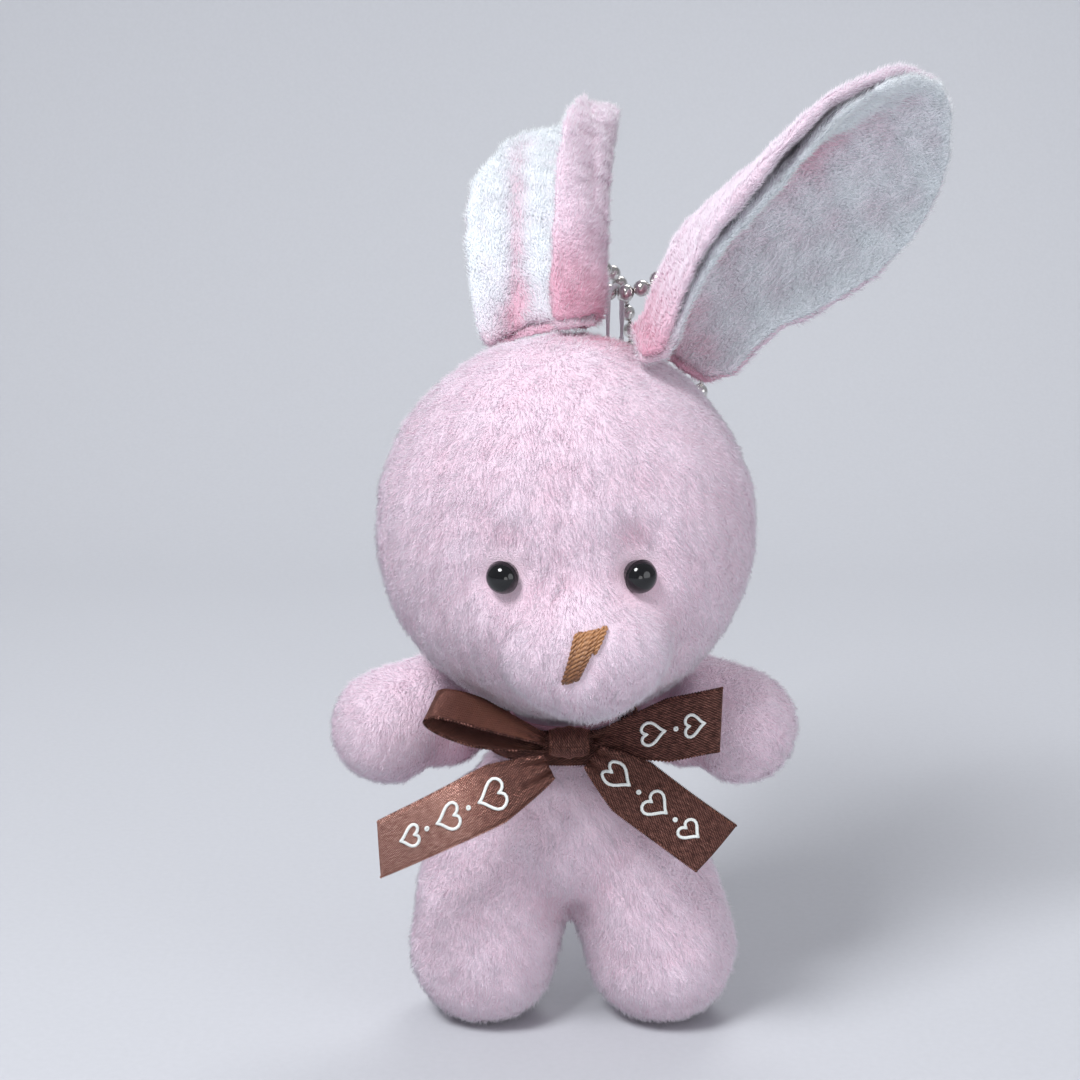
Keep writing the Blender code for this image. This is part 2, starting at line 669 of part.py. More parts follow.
def make_connector(steel, middle):
    """The sleeve that joins the chain's two ends: a tube round the last two balls."""
    half = CONNECTOR_HALF_LENGTH
    outside = ((-half, CONNECTOR_RADIUS), (half, CONNECTOR_RADIUS))
    tube = lathe("chain_connector", outside, middle, CHAIN_SIDE, steel, 14)
    inside = ((-half - 2, CONNECTOR_BORE), (half + 2, CONNECTOR_BORE))
    bore = lathe("connector_bore", inside, middle, CHAIN_SIDE, segments=14)
    combine(tube, bore, "DIFFERENCE")


def make_neck_seam(thread):
    """The ring of stitching that joins head and body."""
    radius = (NECK_OPENING + COLLAR_RADIUS) / 2
    count = 20
    centres = []
    for k in range(count):
        turn = 2 * math.pi * k / count
        centres.append(Vector((radius * math.cos(turn), radius * math.sin(turn), SEAM_HEIGHT)))
    ring_tube("neck_seam_thread", centres, SEAM_RADIUS, UP, thread, 6)


def main():
    clear_scene()
    pink = material("pink_plush", (0.82, 0.62, 0.72), 0.95)
    white = material("white_plush", (0.86, 0.88, 0.90), 0.95)
    fibre = material("polyester_fibre", (0.90, 0.90, 0.88), 1.0)
    black = material("black_plastic", (0.01, 0.01, 0.012), 0.12)
    nylon = material("nylon_washer", (0.75, 0.75, 0.72), 0.5)
    brown = material("brown_thread", (0.32, 0.14, 0.05), 0.6)
    satin = material("brown_satin", (0.10, 0.04, 0.03), 0.35)
    cord = material("white_cord", (0.88, 0.88, 0.86), 0.7)
    steel = material("plated_steel", (0.80, 0.78, 0.76), 0.18, 1.0)
    seam = material("pink_thread", (0.85, 0.60, 0.68), 0.8)
    make_body(pink, fibre)
    make_head(pink, fibre)
    make_eyes(black, nylon)
    make_nose(brown)
    make_arms(pink, fibre)
    make_ears(pink, white)
    make_neck_ribbon(satin)
    make_bow(satin)
    make_tails(satin)
    make_neck_seam(seam)
    make_hanging_loop(cord)
    make_connector(steel, make_chain(steel))


main()
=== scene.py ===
"""Looks for a small plush rabbit on a ball chain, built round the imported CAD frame.

Every place comes from the frame: the CAD nodes' points and boxes, and the joints' pivots.
Lengths are in metres, and MM turns millimetres into them. Left and right are as seen from the front.
"""

import json
import math

import bmesh
import bpy
import numpy as np
from mathutils import Matrix, Vector
from mathutils.bvhtree import BVHTree


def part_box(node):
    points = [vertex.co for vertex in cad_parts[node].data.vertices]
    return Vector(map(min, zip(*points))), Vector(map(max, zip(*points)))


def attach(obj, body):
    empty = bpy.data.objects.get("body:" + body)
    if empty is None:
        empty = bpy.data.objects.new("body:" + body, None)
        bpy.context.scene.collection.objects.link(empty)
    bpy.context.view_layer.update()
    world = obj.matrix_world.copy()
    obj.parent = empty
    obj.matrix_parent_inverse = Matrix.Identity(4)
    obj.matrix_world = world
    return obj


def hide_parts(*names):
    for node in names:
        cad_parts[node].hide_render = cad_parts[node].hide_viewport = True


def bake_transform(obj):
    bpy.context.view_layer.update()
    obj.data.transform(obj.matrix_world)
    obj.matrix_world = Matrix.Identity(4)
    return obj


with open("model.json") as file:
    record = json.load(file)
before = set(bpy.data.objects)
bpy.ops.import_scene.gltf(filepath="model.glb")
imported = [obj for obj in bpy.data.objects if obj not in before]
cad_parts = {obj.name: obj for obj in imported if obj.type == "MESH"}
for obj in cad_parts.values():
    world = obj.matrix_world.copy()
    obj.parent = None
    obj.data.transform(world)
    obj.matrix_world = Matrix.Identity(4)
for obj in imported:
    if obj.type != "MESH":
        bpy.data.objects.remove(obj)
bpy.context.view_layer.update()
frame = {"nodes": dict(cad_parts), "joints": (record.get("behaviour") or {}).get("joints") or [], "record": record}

MM = 0.001
NODES = frame["nodes"]
PIVOT = {joint["name"]: Vector(joint["pos_m"]) for joint in frame["joints"]}
SIDES = {"left": -1, "right": 1}

# Driving values of the fabric
PILE_LENGTH = 1.25 * MM
PILE_WIDTH = 0.115 * MM
PILE_PER_MM2 = 9.0
PILE_LEAN = math.radians(58)
ROOT_DARKER = 0.16
TIP_PALER = 0.2
SKIN_VOXEL = 1.15 * MM
EAR_VOXEL = 0.5 * MM
SWELL_CAP = 1.1 * MM        # how far the filling may push the fabric out between its stitches
CLOTH_SCALE = 20            # the cloth solver suits furniture, so the toy is simulated this much larger
CLOTH_STEPS = 20
CLOTH_PRESSURE = 6.0
FILLING_SWELL = 0.6 * MM    # the filling is swollen this much, to meet the cover round it
FLOOR_GAP = 0.15 * MM
PLAIN_SHADE = 0.62          # the shade of fabric that is neither in a hollow nor on a ridge

# Depths pressed into or raised from the head, and the eyes
EYE_SHOWN = 0.8             # the share of an eye's width that shows past the fabric drawn up round it
EYE_SOCKET = 1.3 * MM
BROW_HOLLOW = 1.0 * MM
CHEEK_FULLNESS = 0.9 * MM
SEAM_HALF_WIDTH = 0.9 * MM
HEAD_SEAM = 0.5 * MM
BODY_SEAM = 0.45 * MM

# The ribbon and the printed motif
RIBBON_THICK = 0.32 * MM
INK_LIFT = 0.03 * MM
INK_RADIUS = 0.27 * MM
PRINT_LENGTH = 19.5 * MM    # from the first mark to the cut end
LOOP_PRINT_LENGTH = 18.2 * MM
MARKS = (                   # place along the row, and a heart's width, or None for a dot
    (0.0, 4.9 * MM), (4.0 * MM, None), (7.6 * MM, 4.2 * MM), (11.2 * MM, None), (14.2 * MM, 3.4 * MM),
)
DOT_RADIUS = 0.245 * MM
DOT_INK = 0.2 * MM

# The middle of the picture
VIEW_HEIGHT = 81.5 * MM
VIEW_ASIDE = -4 * MM        # from the neck


# ---- reading the frame ----

def read(items, label, width=3, kind=float):
    """One property of every item of a mesh, as the rows of an array."""
    values = np.empty(len(items) * width, kind)
    items.foreach_get(label, values)
    return values.reshape(-1, width)


def get_points(mesh):
    return read(mesh.vertices, "co")


def node_points(node):
    """A CAD node's corner points, each once."""
    return np.unique(np.round(get_points(NODES[node].data), 7), axis=0)


def middle(node):
    low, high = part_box(node)
    return (low + high) / 2


def far_point(node, way):
    """The node's corner that lies farthest this way."""
    points = node_points(node)
    return Vector(points[np.argmax(points @ np.array(way))])


def distance(points, centre):
    """How far each point lies from a place."""
    return np.linalg.norm(points - np.array(centre), axis=1)


def main_ways(node):
    """The three ways a node spreads, from its longest to its thinnest."""
    points = node_points(node)
    _, _, ways = np.linalg.svd(points - points.mean(axis=0), full_matrices=False)
    return [Vector(way) for way in ways]


# ---- meshes ----

def add_object(name, mesh):
    obj = bpy.data.objects.new(name, mesh)
    bpy.context.scene.collection.objects.link(obj)
    return obj


def from_arrays(name, points, faces):
    """A smooth-shaded object from a numpy array of points and one array of equal-sided faces."""
    mesh = bpy.data.meshes.new(name)
    sides = faces.shape[1]
    mesh.vertices.add(len(points))
    mesh.vertices.foreach_set("co", np.asarray(points, np.float32).ravel())
    mesh.loops.add(faces.size)
    mesh.loops.foreach_set("vertex_index", faces.astype(np.int32).ravel())
    mesh.polygons.add(len(faces))
    mesh.polygons.foreach_set("loop_start", np.arange(len(faces), dtype=np.int32) * sides)
    mesh.update(calc_edges=True)
    mesh.shade_smooth()
    return add_object(name, mesh)


def joined(name, parts):
    """One object from several (points, quad faces) parts."""
    points = np.concatenate([np.asarray(p, float).reshape(-1, 3) for p, _ in parts])
    starts = np.cumsum([0] + [len(p) for p, _ in parts[:-1]])
    faces = np.concatenate([np.asarray(f) + start for (_, f), start in zip(parts, starts, strict=True)])
    return from_arrays(name, points, faces)


def set_points(mesh, points):
    mesh.vertices.foreach_set("co", points.ravel())
    mesh.update()


def get_normals(mesh):
    return read(mesh.vertex_normals, "vector")


def get_edges(mesh):
    return read(mesh.edges, "vertices", 2, np.int64)


def set_shade(mesh, values):
    """Stores each point's shade, which the materials turn into colour."""
    layer = mesh.attributes.new("shade", "FLOAT", "POINT")
    layer.data.foreach_set("value", np.asarray(values, np.float32).ravel())


def dressed(obj, look, body=None, stands_for=()):
    """Gives a piece its material, hangs it on its body, and hides the CAD nodes that it replaces."""
    obj.data.materials.append(look)
    if body:
        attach(obj, body)
    if stands_for:
        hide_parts(*stands_for)
    return obj


def relaxed(mesh, points, times, share=0.5):
    """The points after moving each part of the way to the mean of its neighbours, this many times."""
    first, second = get_edges(mesh).T
    count = np.bincount(first, minlength=len(points)) + np.bincount(second, minlength=len(points))
    share = np.asarray(share, float).reshape(-1, 1)
    points = points.copy()
    for _ in range(times):
        total = np.zeros_like(points)
        for axis in range(3):
            total[:, axis] += np.bincount(first, points[second, axis], len(points))
            total[:, axis] += np.bincount(second, points[first, axis], len(points))
        points += (total / np.maximum(count, 1)[:, None] - points) * share
    return points


def with_modifiers(obj):
    """Gives an object the mesh that its modifiers make, and takes the modifiers off."""
    graph = bpy.context.evaluated_depsgraph_get()
    mesh = bpy.data.meshes.new_from_object(obj.evaluated_get(graph))
    obj.modifiers.clear()
    obj.data = mesh
    return obj


def remeshed(obj, voxel):
    modifier = obj.modifiers.new("skin", "REMESH")
    modifier.mode = "VOXEL"
    modifier.voxel_size = voxel
    return with_modifiers(obj)


def keep_largest_part(mesh):
    """Deletes every loose part of the mesh but the one with most points."""
    first, second = get_edges(mesh).T
    label = np.arange(len(mesh.vertices))
    while True:
        lowest = label.copy()
        np.minimum.at(lowest, first, label[second])
        np.minimum.at(lowest, second, label[first])
        lowest = lowest[lowest]
        if np.array_equal(lowest, label):
            break
        label = lowest
    keep = np.bincount(label).argmax()
    work = bmesh.new()
    work.from_mesh(mesh)
    work.verts.ensure_lookup_table()
    spare = [work.verts[int(k)] for k in np.flatnonzero(label != keep)]
    bmesh.ops.delete(work, geom=spare, context="VERTS")
    work.to_mesh(mesh)
    work.free()


def tube(path, radius, sides=8, closed=False):
    """(points, quads) of a round tube along a path. The radius may be one number or one for each point."""
    path = np.asarray(path, float)
    count = len(path)
    radius = np.broadcast_to(np.asarray(radius, float), (count,))
    if closed:
        along = np.roll(path, -1, 0) - np.roll(path, 1, 0)
    else:
        along = np.gradient(path, axis=0)
    along /= np.linalg.norm(along, axis=1)[:, None]
    side = np.cross(along[0], (0.3, 0.2, 0.93))
    points = []
    for k in range(count):
        side = side - along[k] * (side @ along[k])
        side /= np.linalg.norm(side)
        over = np.cross(along[k], side)
        turn = 2 * math.pi * np.arange(sides)[:, None] / sides
        points.append(path[k] + (side * np.cos(turn) + over * np.sin(turn)) * radius[k])
    points = np.concatenate(points)
    rows = count if closed else count - 1
    k, j = np.meshgrid(np.arange(rows), np.arange(sides), indexing="ij")
    after, turned = (k + 1) % count, (j + 1) % sides
    quads = np.stack([k * sides + j, k * sides + turned, after * sides + turned, after * sides + j], -1)
    quads = quads.reshape(-1, 4)
    if not closed:
        ends = []
        for start in (0, (count - 1) * sides):
            ring = np.arange(sides) + start
            if start == 0:
                ring = ring[::-1]
            for k in range(0, sides - 2, 2):
                ends.append((ring[0], ring[k + 1], ring[k + 2], ring[(k + 3) % sides]))
        quads = np.concatenate([quads, [e for e in ends if len(set(e)) == 4]])
    return points, quads


def turned(profile, base, axis, segments=32):
    """(points, quads) of a turned form. The profile is (distance along the axis, radius) rows, and a solid
    one ends in rings of nearly no radius."""
    axis = Vector(axis).normalized()
    side = axis.orthogonal().normalized()
    over = axis.cross(side)
    points = []
    for along, radius in profile:
        for k in range(segments):
            turn = 2 * math.pi * k / segments
            points.append(base + axis * along + (side * math.cos(turn) + over * math.sin(turn)) * radius)
    quads = []
    for row in range(len(profile) - 1):
        for k in range(segments):
            a, b = row * segments + k, row * segments + (k + 1) % segments
            quads.append((a, b, b + segments, a + segments))
    return np.array([tuple(p) for p in points]), np.array(quads)


# ---- seeded noise ----

def ripple(points, wavelength, seed):
    """Smooth noise of about -1 to 1 at the points, from waves that run in seeded ways."""
    rng = np.random.default_rng(seed)
    waves = 7
    total = np.zeros(len(points))
    for _ in range(waves):
        way = rng.normal(size=3)
        way *= 2 * math.pi / (np.linalg.norm(way) * wavelength * rng.uniform(0.6, 1.5))
        total += np.sin(points @ way + rng.uniform(0, 2 * math.pi))
    return total / math.sqrt(waves)


def near(points, centre, reach):
    """1 at the centre, falling smoothly to nothing a little beyond the reach."""
    apart = np.linalg.norm((points - np.array(centre)) / np.asarray(reach, float), axis=1)
    return np.exp(-apart ** 2)


# ---- materials ----

def linear(red, green, blue):
    """A colour given as 0 to 255 screen values, as Blender's linear numbers."""
    return tuple((v / 12.92 if v <= 0.04045 else ((v + 0.055) / 1.055) ** 2.4)
                 for v in (red / 255, green / 255, blue / 255)) + (1.0,)


def grey(value):
    return (value, value, value, 1.0)


class Look:
    """A material being built from nodes."""

    def __init__(self, name, **settings):
        self.material = bpy.data.materials.new(name)
        self.material.use_nodes = True
        self.tree = self.material.node_tree
        self.shader = self.tree.nodes["Principled BSDF"]
        for label, value in settings.items():
            self.shader.inputs[label.replace("_", " ")].default_value = value

    def node(self, kind, inputs=None, **settings):
        """Adds a node. An input's value is a number, a colour or another node's output."""
        made = self.tree.nodes.new("ShaderNode" + kind)
        for label, value in settings.items():
            setattr(made, label, value)
        for label, value in (inputs or {}).items():
            if isinstance(value, bpy.types.NodeSocket):
                self.tree.links.new(value, made.inputs[label])
            else:
                made.inputs[label].default_value = value
        return made

    def ramp(self, factor, stops):
        """A colour ramp over (place, colour) stops."""
        made = self.node("ValToRGB", {"Fac": factor})
        band = made.color_ramp
        while len(band.elements) < len(stops):
            band.elements.new(0.5)
        for element, (place, colour) in zip(band.elements, stops, strict=True):
            element.position = place
            element.color = colour
        return made.outputs["Color"]

    def maths(self, operation, first, second=0.0):
        return self.node("Math", {0: first, 1: second}, operation=operation).outputs[0]

    def place(self):
        """The point in the toy's own frame, in millimetres."""
        where = self.node("TexCoord").outputs["Object"]
        scaled = self.node("VectorMath", {0: where, 1: (1 / MM,) * 3}, operation="MULTIPLY")
        return scaled.outputs[0]

    def noise(self, vector, scale, detail=3.0, roughness=0.55):
        return self.node("TexNoise", {"Vector": vector, "Scale": scale, "Detail": detail,
                                      "Roughness": roughness}).outputs["Fac"]

    def mottle(self, scale, detail, share, vector=None):
        """Noise of 0 to this share."""
        return self.maths("MULTIPLY", self.noise(vector or self.place(), scale, detail), share)

    def shade(self):
        """The shade stored at each point of the mesh: tone, with painted shade and painted highlights among it."""
        return self.node("Attribute", attribute_name="shade").outputs["Fac"]

    def colour(self, factor, *stops):
        self.tree.links.new(self.ramp(factor, stops), self.shader.inputs["Base Color"])

    def roughness(self, factor, *stops):
        """Roughness along (place, roughness) stops."""
        greys = [(place, grey(value)) for place, value in stops]
        self.tree.links.new(self.ramp(factor, greys), self.shader.inputs["Roughness"])

    def bump(self, height, strength, distance=0.1 * MM):
        made = self.node("Bump", {"Height": height, "Strength": strength, "Distance": distance})
        self.tree.links.new(made.outputs["Normal"], self.shader.inputs["Normal"])


PINKS = ((0.0, linear(212, 150, 172)), (0.35, linear(230, 198, 214)), (0.62, linear(236, 220, 233)),
         (1.0, linear(244, 238, 248)))
WHITES = ((0.0, linear(222, 176, 194)), (0.3, linear(224, 214, 224)), (0.6, linear(232, 238, 243)),
          (1.0, linear(243, 248, 251)))


def plush_skin_look(name, stops):
    """The knitted ground of the plush, seen between the fibres."""
    look = Look(name, Roughness=0.95, Sheen_Weight=0.25, Sheen_Roughness=0.5)
    where = look.place()
    patch = look.mottle(0.35, 3.0, 0.25, where)
    fine = look.mottle(3.2, 4.0, 0.22, where)
    tone = look.maths("ADD", look.maths("ADD", look.shade(), patch), look.maths("SUBTRACT", fine, 0.42))
    look.colour(tone, *stops)
    fibres = look.node("TexVoronoi", {"Vector": where, "Scale": 4.5}, feature="F1").outputs["Distance"]
    look.bump(look.maths("ADD", fibres, look.noise(where, 5.0, 4.0)), 0.6, 0.25 * MM)
    return look.material


def plush_pile_look(name, stops):
    """The fibres: deeper in colour at the root and paler at the tip, in soft patches."""
    look = Look(name, Roughness=0.85, Sheen_Weight=0.35, Sheen_Roughness=0.45)
    tone = look.maths("ADD", look.shade(), look.maths("SUBTRACT", look.mottle(0.5, 3.0, 0.16), 0.08))
    look.colour(tone, *stops)
    return look.material


def satin_look():
    """Brown satin ribbon: fine slanting twill floats with a copper-tinted reflection, and pale copper glints
    painted into the colour where the floats and streaks peak.
    """
    look = Look("brown_satin_weave", Roughness=0.34, Metallic=0.5, Specular_IOR_Level=0.7,
                Specular_Tint=linear(255, 196, 168), Sheen_Weight=0.25, Sheen_Roughness=0.3,
                Sheen_Tint=linear(226, 150, 120), Anisotropic=0.5)
    across = look.node("UVMap", uv_map="weave").outputs["UV"]
    split = look.node("SeparateXYZ", {"Vector": across})
    u, v = split.outputs[0], split.outputs[1]
    slant = look.maths("MULTIPLY", look.maths("ADD", u, look.maths("MULTIPLY", v, 1.6)), 2 * math.pi / 0.62)
    float_wave = look.maths("SINE", slant)
    thread = look.maths("SINE", look.maths("MULTIPLY", v, 2 * math.pi / 0.24))
    crossing = look.maths("ADD", look.maths("MULTIPLY", float_wave, 0.6), look.maths("MULTIPLY", thread, 0.4))
    vector = look.node("CombineXYZ", {0: look.maths("MULTIPLY", u, 0.8), 1: look.maths("MULTIPLY", v, 4.0)})
    streak = look.noise(vector.outputs[0], 1.2, 4.0)
    # painted highlight: the weave, the streaks and the piece's painted highlight lift the colour to pale copper
    # glints
    tone = look.maths("ADD", look.maths("MULTIPLY", crossing, 0.2), look.maths("ADD", streak, look.shade()))
    look.colour(tone, (0.3, linear(30, 18, 19)), (0.52, linear(66, 40, 39)), (0.78, linear(150, 104, 94)),
                (1.0, linear(214, 172, 158)))
    look.roughness(tone, (0.3, 0.46), (0.74, 0.24))
    look.bump(crossing, 0.8, 0.08 * MM)
    return look.material


def print_look():
    """White ink printed on the ribbon, faintly mottled."""
    look = Look("white_ribbon_print", Roughness=0.55)
    fine = look.noise(look.place(), 6.0, 3.0)
    look.colour(fine, (0.3, linear(206, 212, 208)), (0.6, linear(238, 242, 240)))
    look.bump(fine, 0.35, 0.05 * MM)
    return look.material


def nose_look():
    """Shiny golden-brown embroidery thread, darker towards the bottom of the nose."""
    look = Look("brown_embroidery_thread", Roughness=0.38, Specular_IOR_Level=0.6,
                Sheen_Weight=0.4, Sheen_Roughness=0.3, Sheen_Tint=linear(255, 205, 150))
    fine = look.mottle(7.0, 4.0, 0.5)
    tone = look.maths("ADD", look.shade(), look.maths("SUBTRACT", fine, 0.25))
    look.colour(tone, (0.0, linear(52, 32, 24)), (0.5, linear(116, 74, 48)), (1.0, linear(178, 128, 86)))
    look.bump(fine, 0.3, 0.05 * MM)
    return look.material


def eye_look():
    """Polished black plastic with faint moulding haze and scuffs."""
    look = Look("black_eye_plastic", Coat_Weight=0.3, Coat_Roughness=0.03, Specular_IOR_Level=0.4)
    haze = look.noise(look.place(), 1.6, 5.0)
    look.colour(haze, (0.3, linear(5, 5, 7)), (0.75, linear(12, 13, 17)))
    look.roughness(haze, (0.3, 0.06), (0.8, 0.16))
    return look.material


def steel_look():
    """Bright plated steel with fine rubbing marks and a little tarnish."""
    look = Look("plated_chain_steel", Metallic=1.0)
    where = look.place()
    tarnish = look.noise(where, 1.1, 5.0)
    rubbed = look.noise(where, 9.0, 4.0)
    look.colour(tarnish, (0.3, linear(196, 190, 186)), (0.7, linear(232, 230, 228)))
    look.roughness(rubbed, (0.3, 0.12), (0.75, 0.3))
    look.bump(rubbed, 0.12, 0.02 * MM)
    return look.material


def cord_look():
    """Slightly clear white polyester cord."""
    look = Look("white_polyester_cord", Roughness=0.45, Sheen_Weight=0.3)
    fine = look.noise(look.place(), 6.0, 4.0)
    look.colour(fine, (0.3, linear(214, 218, 222)), (0.7, linear(244, 246, 248)))
    look.bump(fine, 0.4, 0.06 * MM)
    return look.material


def plain_fibre_look(name, dark, pale, scale):
    """Thread, nylon or loose filling that stays inside the toy, mottled between two colours."""
    look = Look(name, Roughness=0.7)
    fine = look.noise(look.place(), scale, 4.0)
    look.colour(fine, (0.3, dark), (0.7, pale))
    look.bump(fine, 0.4, 0.1 * MM)
    return look.material


# ---- soft skins ----

def fused(name, nodes, voxel, plugs=()):
    """One closed skin round CAD solids. Each solid comes with how far it is swollen, to close the gap to its
    neighbour, and plugs are (centre, radius) balls that close openings."""
    work = bmesh.new()
    for node, swell in nodes:
        part = bmesh.new()
        part.from_mesh(NODES[node].data)
        bmesh.ops.remove_doubles(part, verts=part.verts, dist=1e-3 * MM)
        part.normal_update()
        for vert in part.verts:
            vert.co += vert.normal * swell
        held = bpy.data.meshes.new("part")
        part.to_mesh(held)
        part.free()
        work.from_mesh(held)
        bpy.data.meshes.remove(held)
    for centre, radius in plugs:
        place = Matrix.Translation(centre)
        bmesh.ops.create_icosphere(work, subdivisions=3, radius=radius, matrix=place)
    mesh = bpy.data.meshes.new(name)
    work.to_mesh(mesh)
    work.free()
    mesh.materials.clear()
    obj = remeshed(add_object(name, mesh), voxel)
    keep_largest_part(obj.data)
    return obj


def puffed(obj, stitched, cap):
    """Blows the fabric out with Cloth, held at its stitched points, and no further than the cap."""
    scene = bpy.context.scene
    rest = get_points(obj.data)
    set_points(obj.data, rest * CLOTH_SCALE)
    group = obj.vertex_groups.new(name="stitches")
    group.add([int(k) for k in np.flatnonzero(stitched)], 1.0, "REPLACE")
    cloth = obj.modifiers.new("filling", "CLOTH")
    cloth.settings.quality = 4
    cloth.settings.mass = 0.15
    cloth.settings.use_pressure = True
    cloth.settings.uniform_pressure_force = CLOTH_PRESSURE
    cloth.settings.vertex_group_mass = group.name
    cloth.settings.effector_weights.gravity = 0.0
    cloth.settings.tension_stiffness = 12
    cloth.settings.compression_stiffness = 12
    cloth.settings.bending_stiffness = 0.4
    cloth.point_cache.frame_start = 1
    cloth.point_cache.frame_end = CLOTH_STEPS
    for step in range(1, CLOTH_STEPS + 1):
        scene.frame_set(step)
    with_modifiers(obj)
    obj.vertex_groups.clear()
    scene.frame_set(1)
    moved = get_points(obj.data) / CLOTH_SCALE - rest
    far = np.linalg.norm(moved, axis=1)[:, None]
    print(f"{obj.name}: cloth moved {np.median(far) / MM:.2f} mm, at most {far.max() / MM:.2f} mm")
    moved *= np.minimum(1.0, cap / np.maximum(far, 1e-9))
    set_points(obj.data, relaxed(obj.data, rest + moved, 2, 0.4))


def subdivided(obj):
    modifier = obj.modifiers.new("finer", "SUBSURF")
    modifier.levels = 1
    modifier.render_levels = 1
    return with_modifiers(obj)


def sewn_skin(name, nodes, voxel, plugs, smoothing, stitched, cap=SWELL_CAP):
    """A fused skin, smoothed this many times, then blown out but at its stitched(points) points."""
    skin = fused(name, nodes, voxel, plugs)
    points = relaxed(skin.data, get_points(skin.data), smoothing)
    set_points(skin.data, points)
    puffed(skin, stitched(points), cap)
    return skin


def finish_skin(obj, look, shade, body=None, stands_for=()):
    """Smooth shading, its material, and the shade that colours the fabric, with painted shade that darkens and
    pinks it in hollows.
    """
    obj.data.shade_smooth()
    obj.data.materials.clear()
    set_shade(obj.data, shade)
    dressed(obj, look, body, stands_for)


def painted_hollow_shade(mesh, times, most):
    """A skin's shade: up to this much below the plain one in hollows, which is painted shade, darker and pinker,
    along with the deeper pink of the ground showing where the pile parts; and a little above it on ridges, which
    is painted light.
    """
    return PLAIN_SHADE - np.clip(hollowness(mesh, times), -0.15, most)


def hollowness(mesh, times):
    """How far each point lies in a hollow, in millimetres: above 0 in a crease, below 0 on a ridge."""
    points = get_points(mesh)
    lift = relaxed(mesh, points, times) - points
    return np.einsum("ij,ij->i", lift, get_normals(mesh)) / MM


# ---- pile ----

def scattered(mesh, per_mm2, rng):
    """Even random places on a mesh: points, normals and the skin's shade there."""
    mesh.calc_loop_triangles()
    corners = read(mesh.loop_triangles, "vertices", 3, np.int64)
    points, normals = get_points(mesh), get_normals(mesh)
    shade = read(mesh.attributes["shade"].data, "value", 1)[:, 0]
    a, b, c = (points[corners[:, k]] for k in range(3))
    area = np.linalg.norm(np.cross(b - a, c - a), axis=1) / 2
    edges = np.cumsum(area)
    count = int(edges[-1] / MM ** 2 * per_mm2)
    pick = np.searchsorted(edges, (np.arange(count) + rng.random(count)) / count * edges[-1])
    pick = np.minimum(pick, len(corners) - 1)
    first, second = rng.random((2, count))
    over = first + second > 1
    first[over], second[over] = 1 - first[over], 1 - second[over]
    weights = np.stack([1 - first - second, first, second], 1)
    chosen = corners[pick]
    at = np.einsum("nk,nkx->nx", weights, points[chosen])
    out = np.einsum("nk,nkx->nx", weights, normals[chosen])
    out /= np.linalg.norm(out, axis=1)[:, None]
    return at, out, np.einsum("nk,nk->n", weights, shade[chosen])


def unit(vectors):
    return vectors / np.maximum(np.linalg.norm(vectors, axis=1), 1e-12)[:, None]


def grow_pile(name, skin, look, flow, seed, body=None, trim=None, within=None):
    """Short fibres over a skin, each a closed thin spike. flow(points) says which way they lie, trim(points)
    their share of the full length, and within(points) which of them to keep."""
    rng = np.random.default_rng(seed)
    at, out, shade = scattered(skin.data, PILE_PER_MM2, rng)
    share = np.ones(len(at)) if trim is None else trim(at)
    keep = share > 0.2
    if within is not None:
        keep &= within(at)
    at, out, shade, share = at[keep], out[keep], shade[keep], share[keep]
    count = len(at)

    tuft = np.stack([ripple(at, 3.4 * MM, seed + k) for k in (1, 2, 3)], 1)
    way = flow(at) + 0.28 * tuft + 0.2 * rng.normal(size=(count, 3))
    way = unit(way - out * np.einsum("ij,ij->i", way, out)[:, None])
    lean = PILE_LEAN + 0.2 * ripple(at, 2.6 * MM, seed + 4) + 0.14 * rng.normal(size=count)
    axis = out * np.cos(lean)[:, None] + way * np.sin(lean)[:, None]
    side = unit(np.cross(axis, out))
    over = np.cross(axis, side)
    long = PILE_LENGTH * share * rng.uniform(0.72, 1.18, count) * (1 + 0.12 * ripple(at, 4.0 * MM, seed + 5))

    wide = PILE_WIDTH / 2 * rng.uniform(0.8, 1.2, count)[:, None]
    root = at - out * 0.12 * MM
    points = np.empty((count, 4, 3))
    for k in range(3):
        turn = 2 * math.pi * k / 3
        points[:, k] = root + (side * math.cos(turn) + over * math.sin(turn)) * wide
    points[:, 3] = at + axis * long[:, None]
    np.maximum(points[:, :, 2], FLOOR_GAP, out=points[:, :, 2])
    corner = np.arange(count)[:, None, None] * 4
    faces = (corner + np.array([(0, 1, 3), (1, 2, 3), (2, 0, 3), (2, 1, 0)])).reshape(-1, 3)
    obj = from_arrays(name, points.reshape(-1, 3), faces)

    # each fibre takes the skin's shade, painted shade in hollows included, with random tone
    tone = shade + 0.06 * rng.normal(size=count) + 0.03 * ripple(at, 5.0 * MM, seed + 6)
    set_shade(obj.data, np.stack([tone - ROOT_DARKER] * 3 + [tone + TIP_PALER], 1))
    return dressed(obj, look, body)


# ---- the head ----

def eye_place(side):
    """An eye's base on the face, the way it looks out, its radius and its height."""
    dome, washer = middle(f"eye_{side}"), middle(f"eye_washer_{side}")
    axis = (dome - washer).normalized()
    offsets = node_points(f"eye_{side}") - np.array(dome)
    along = offsets @ np.array(axis)
    radius = np.linalg.norm(offsets - np.outer(along, np.array(axis)), axis=1).max()
    top = dome + axis * float(along.max())
    return top - axis * radius, axis, float(radius)


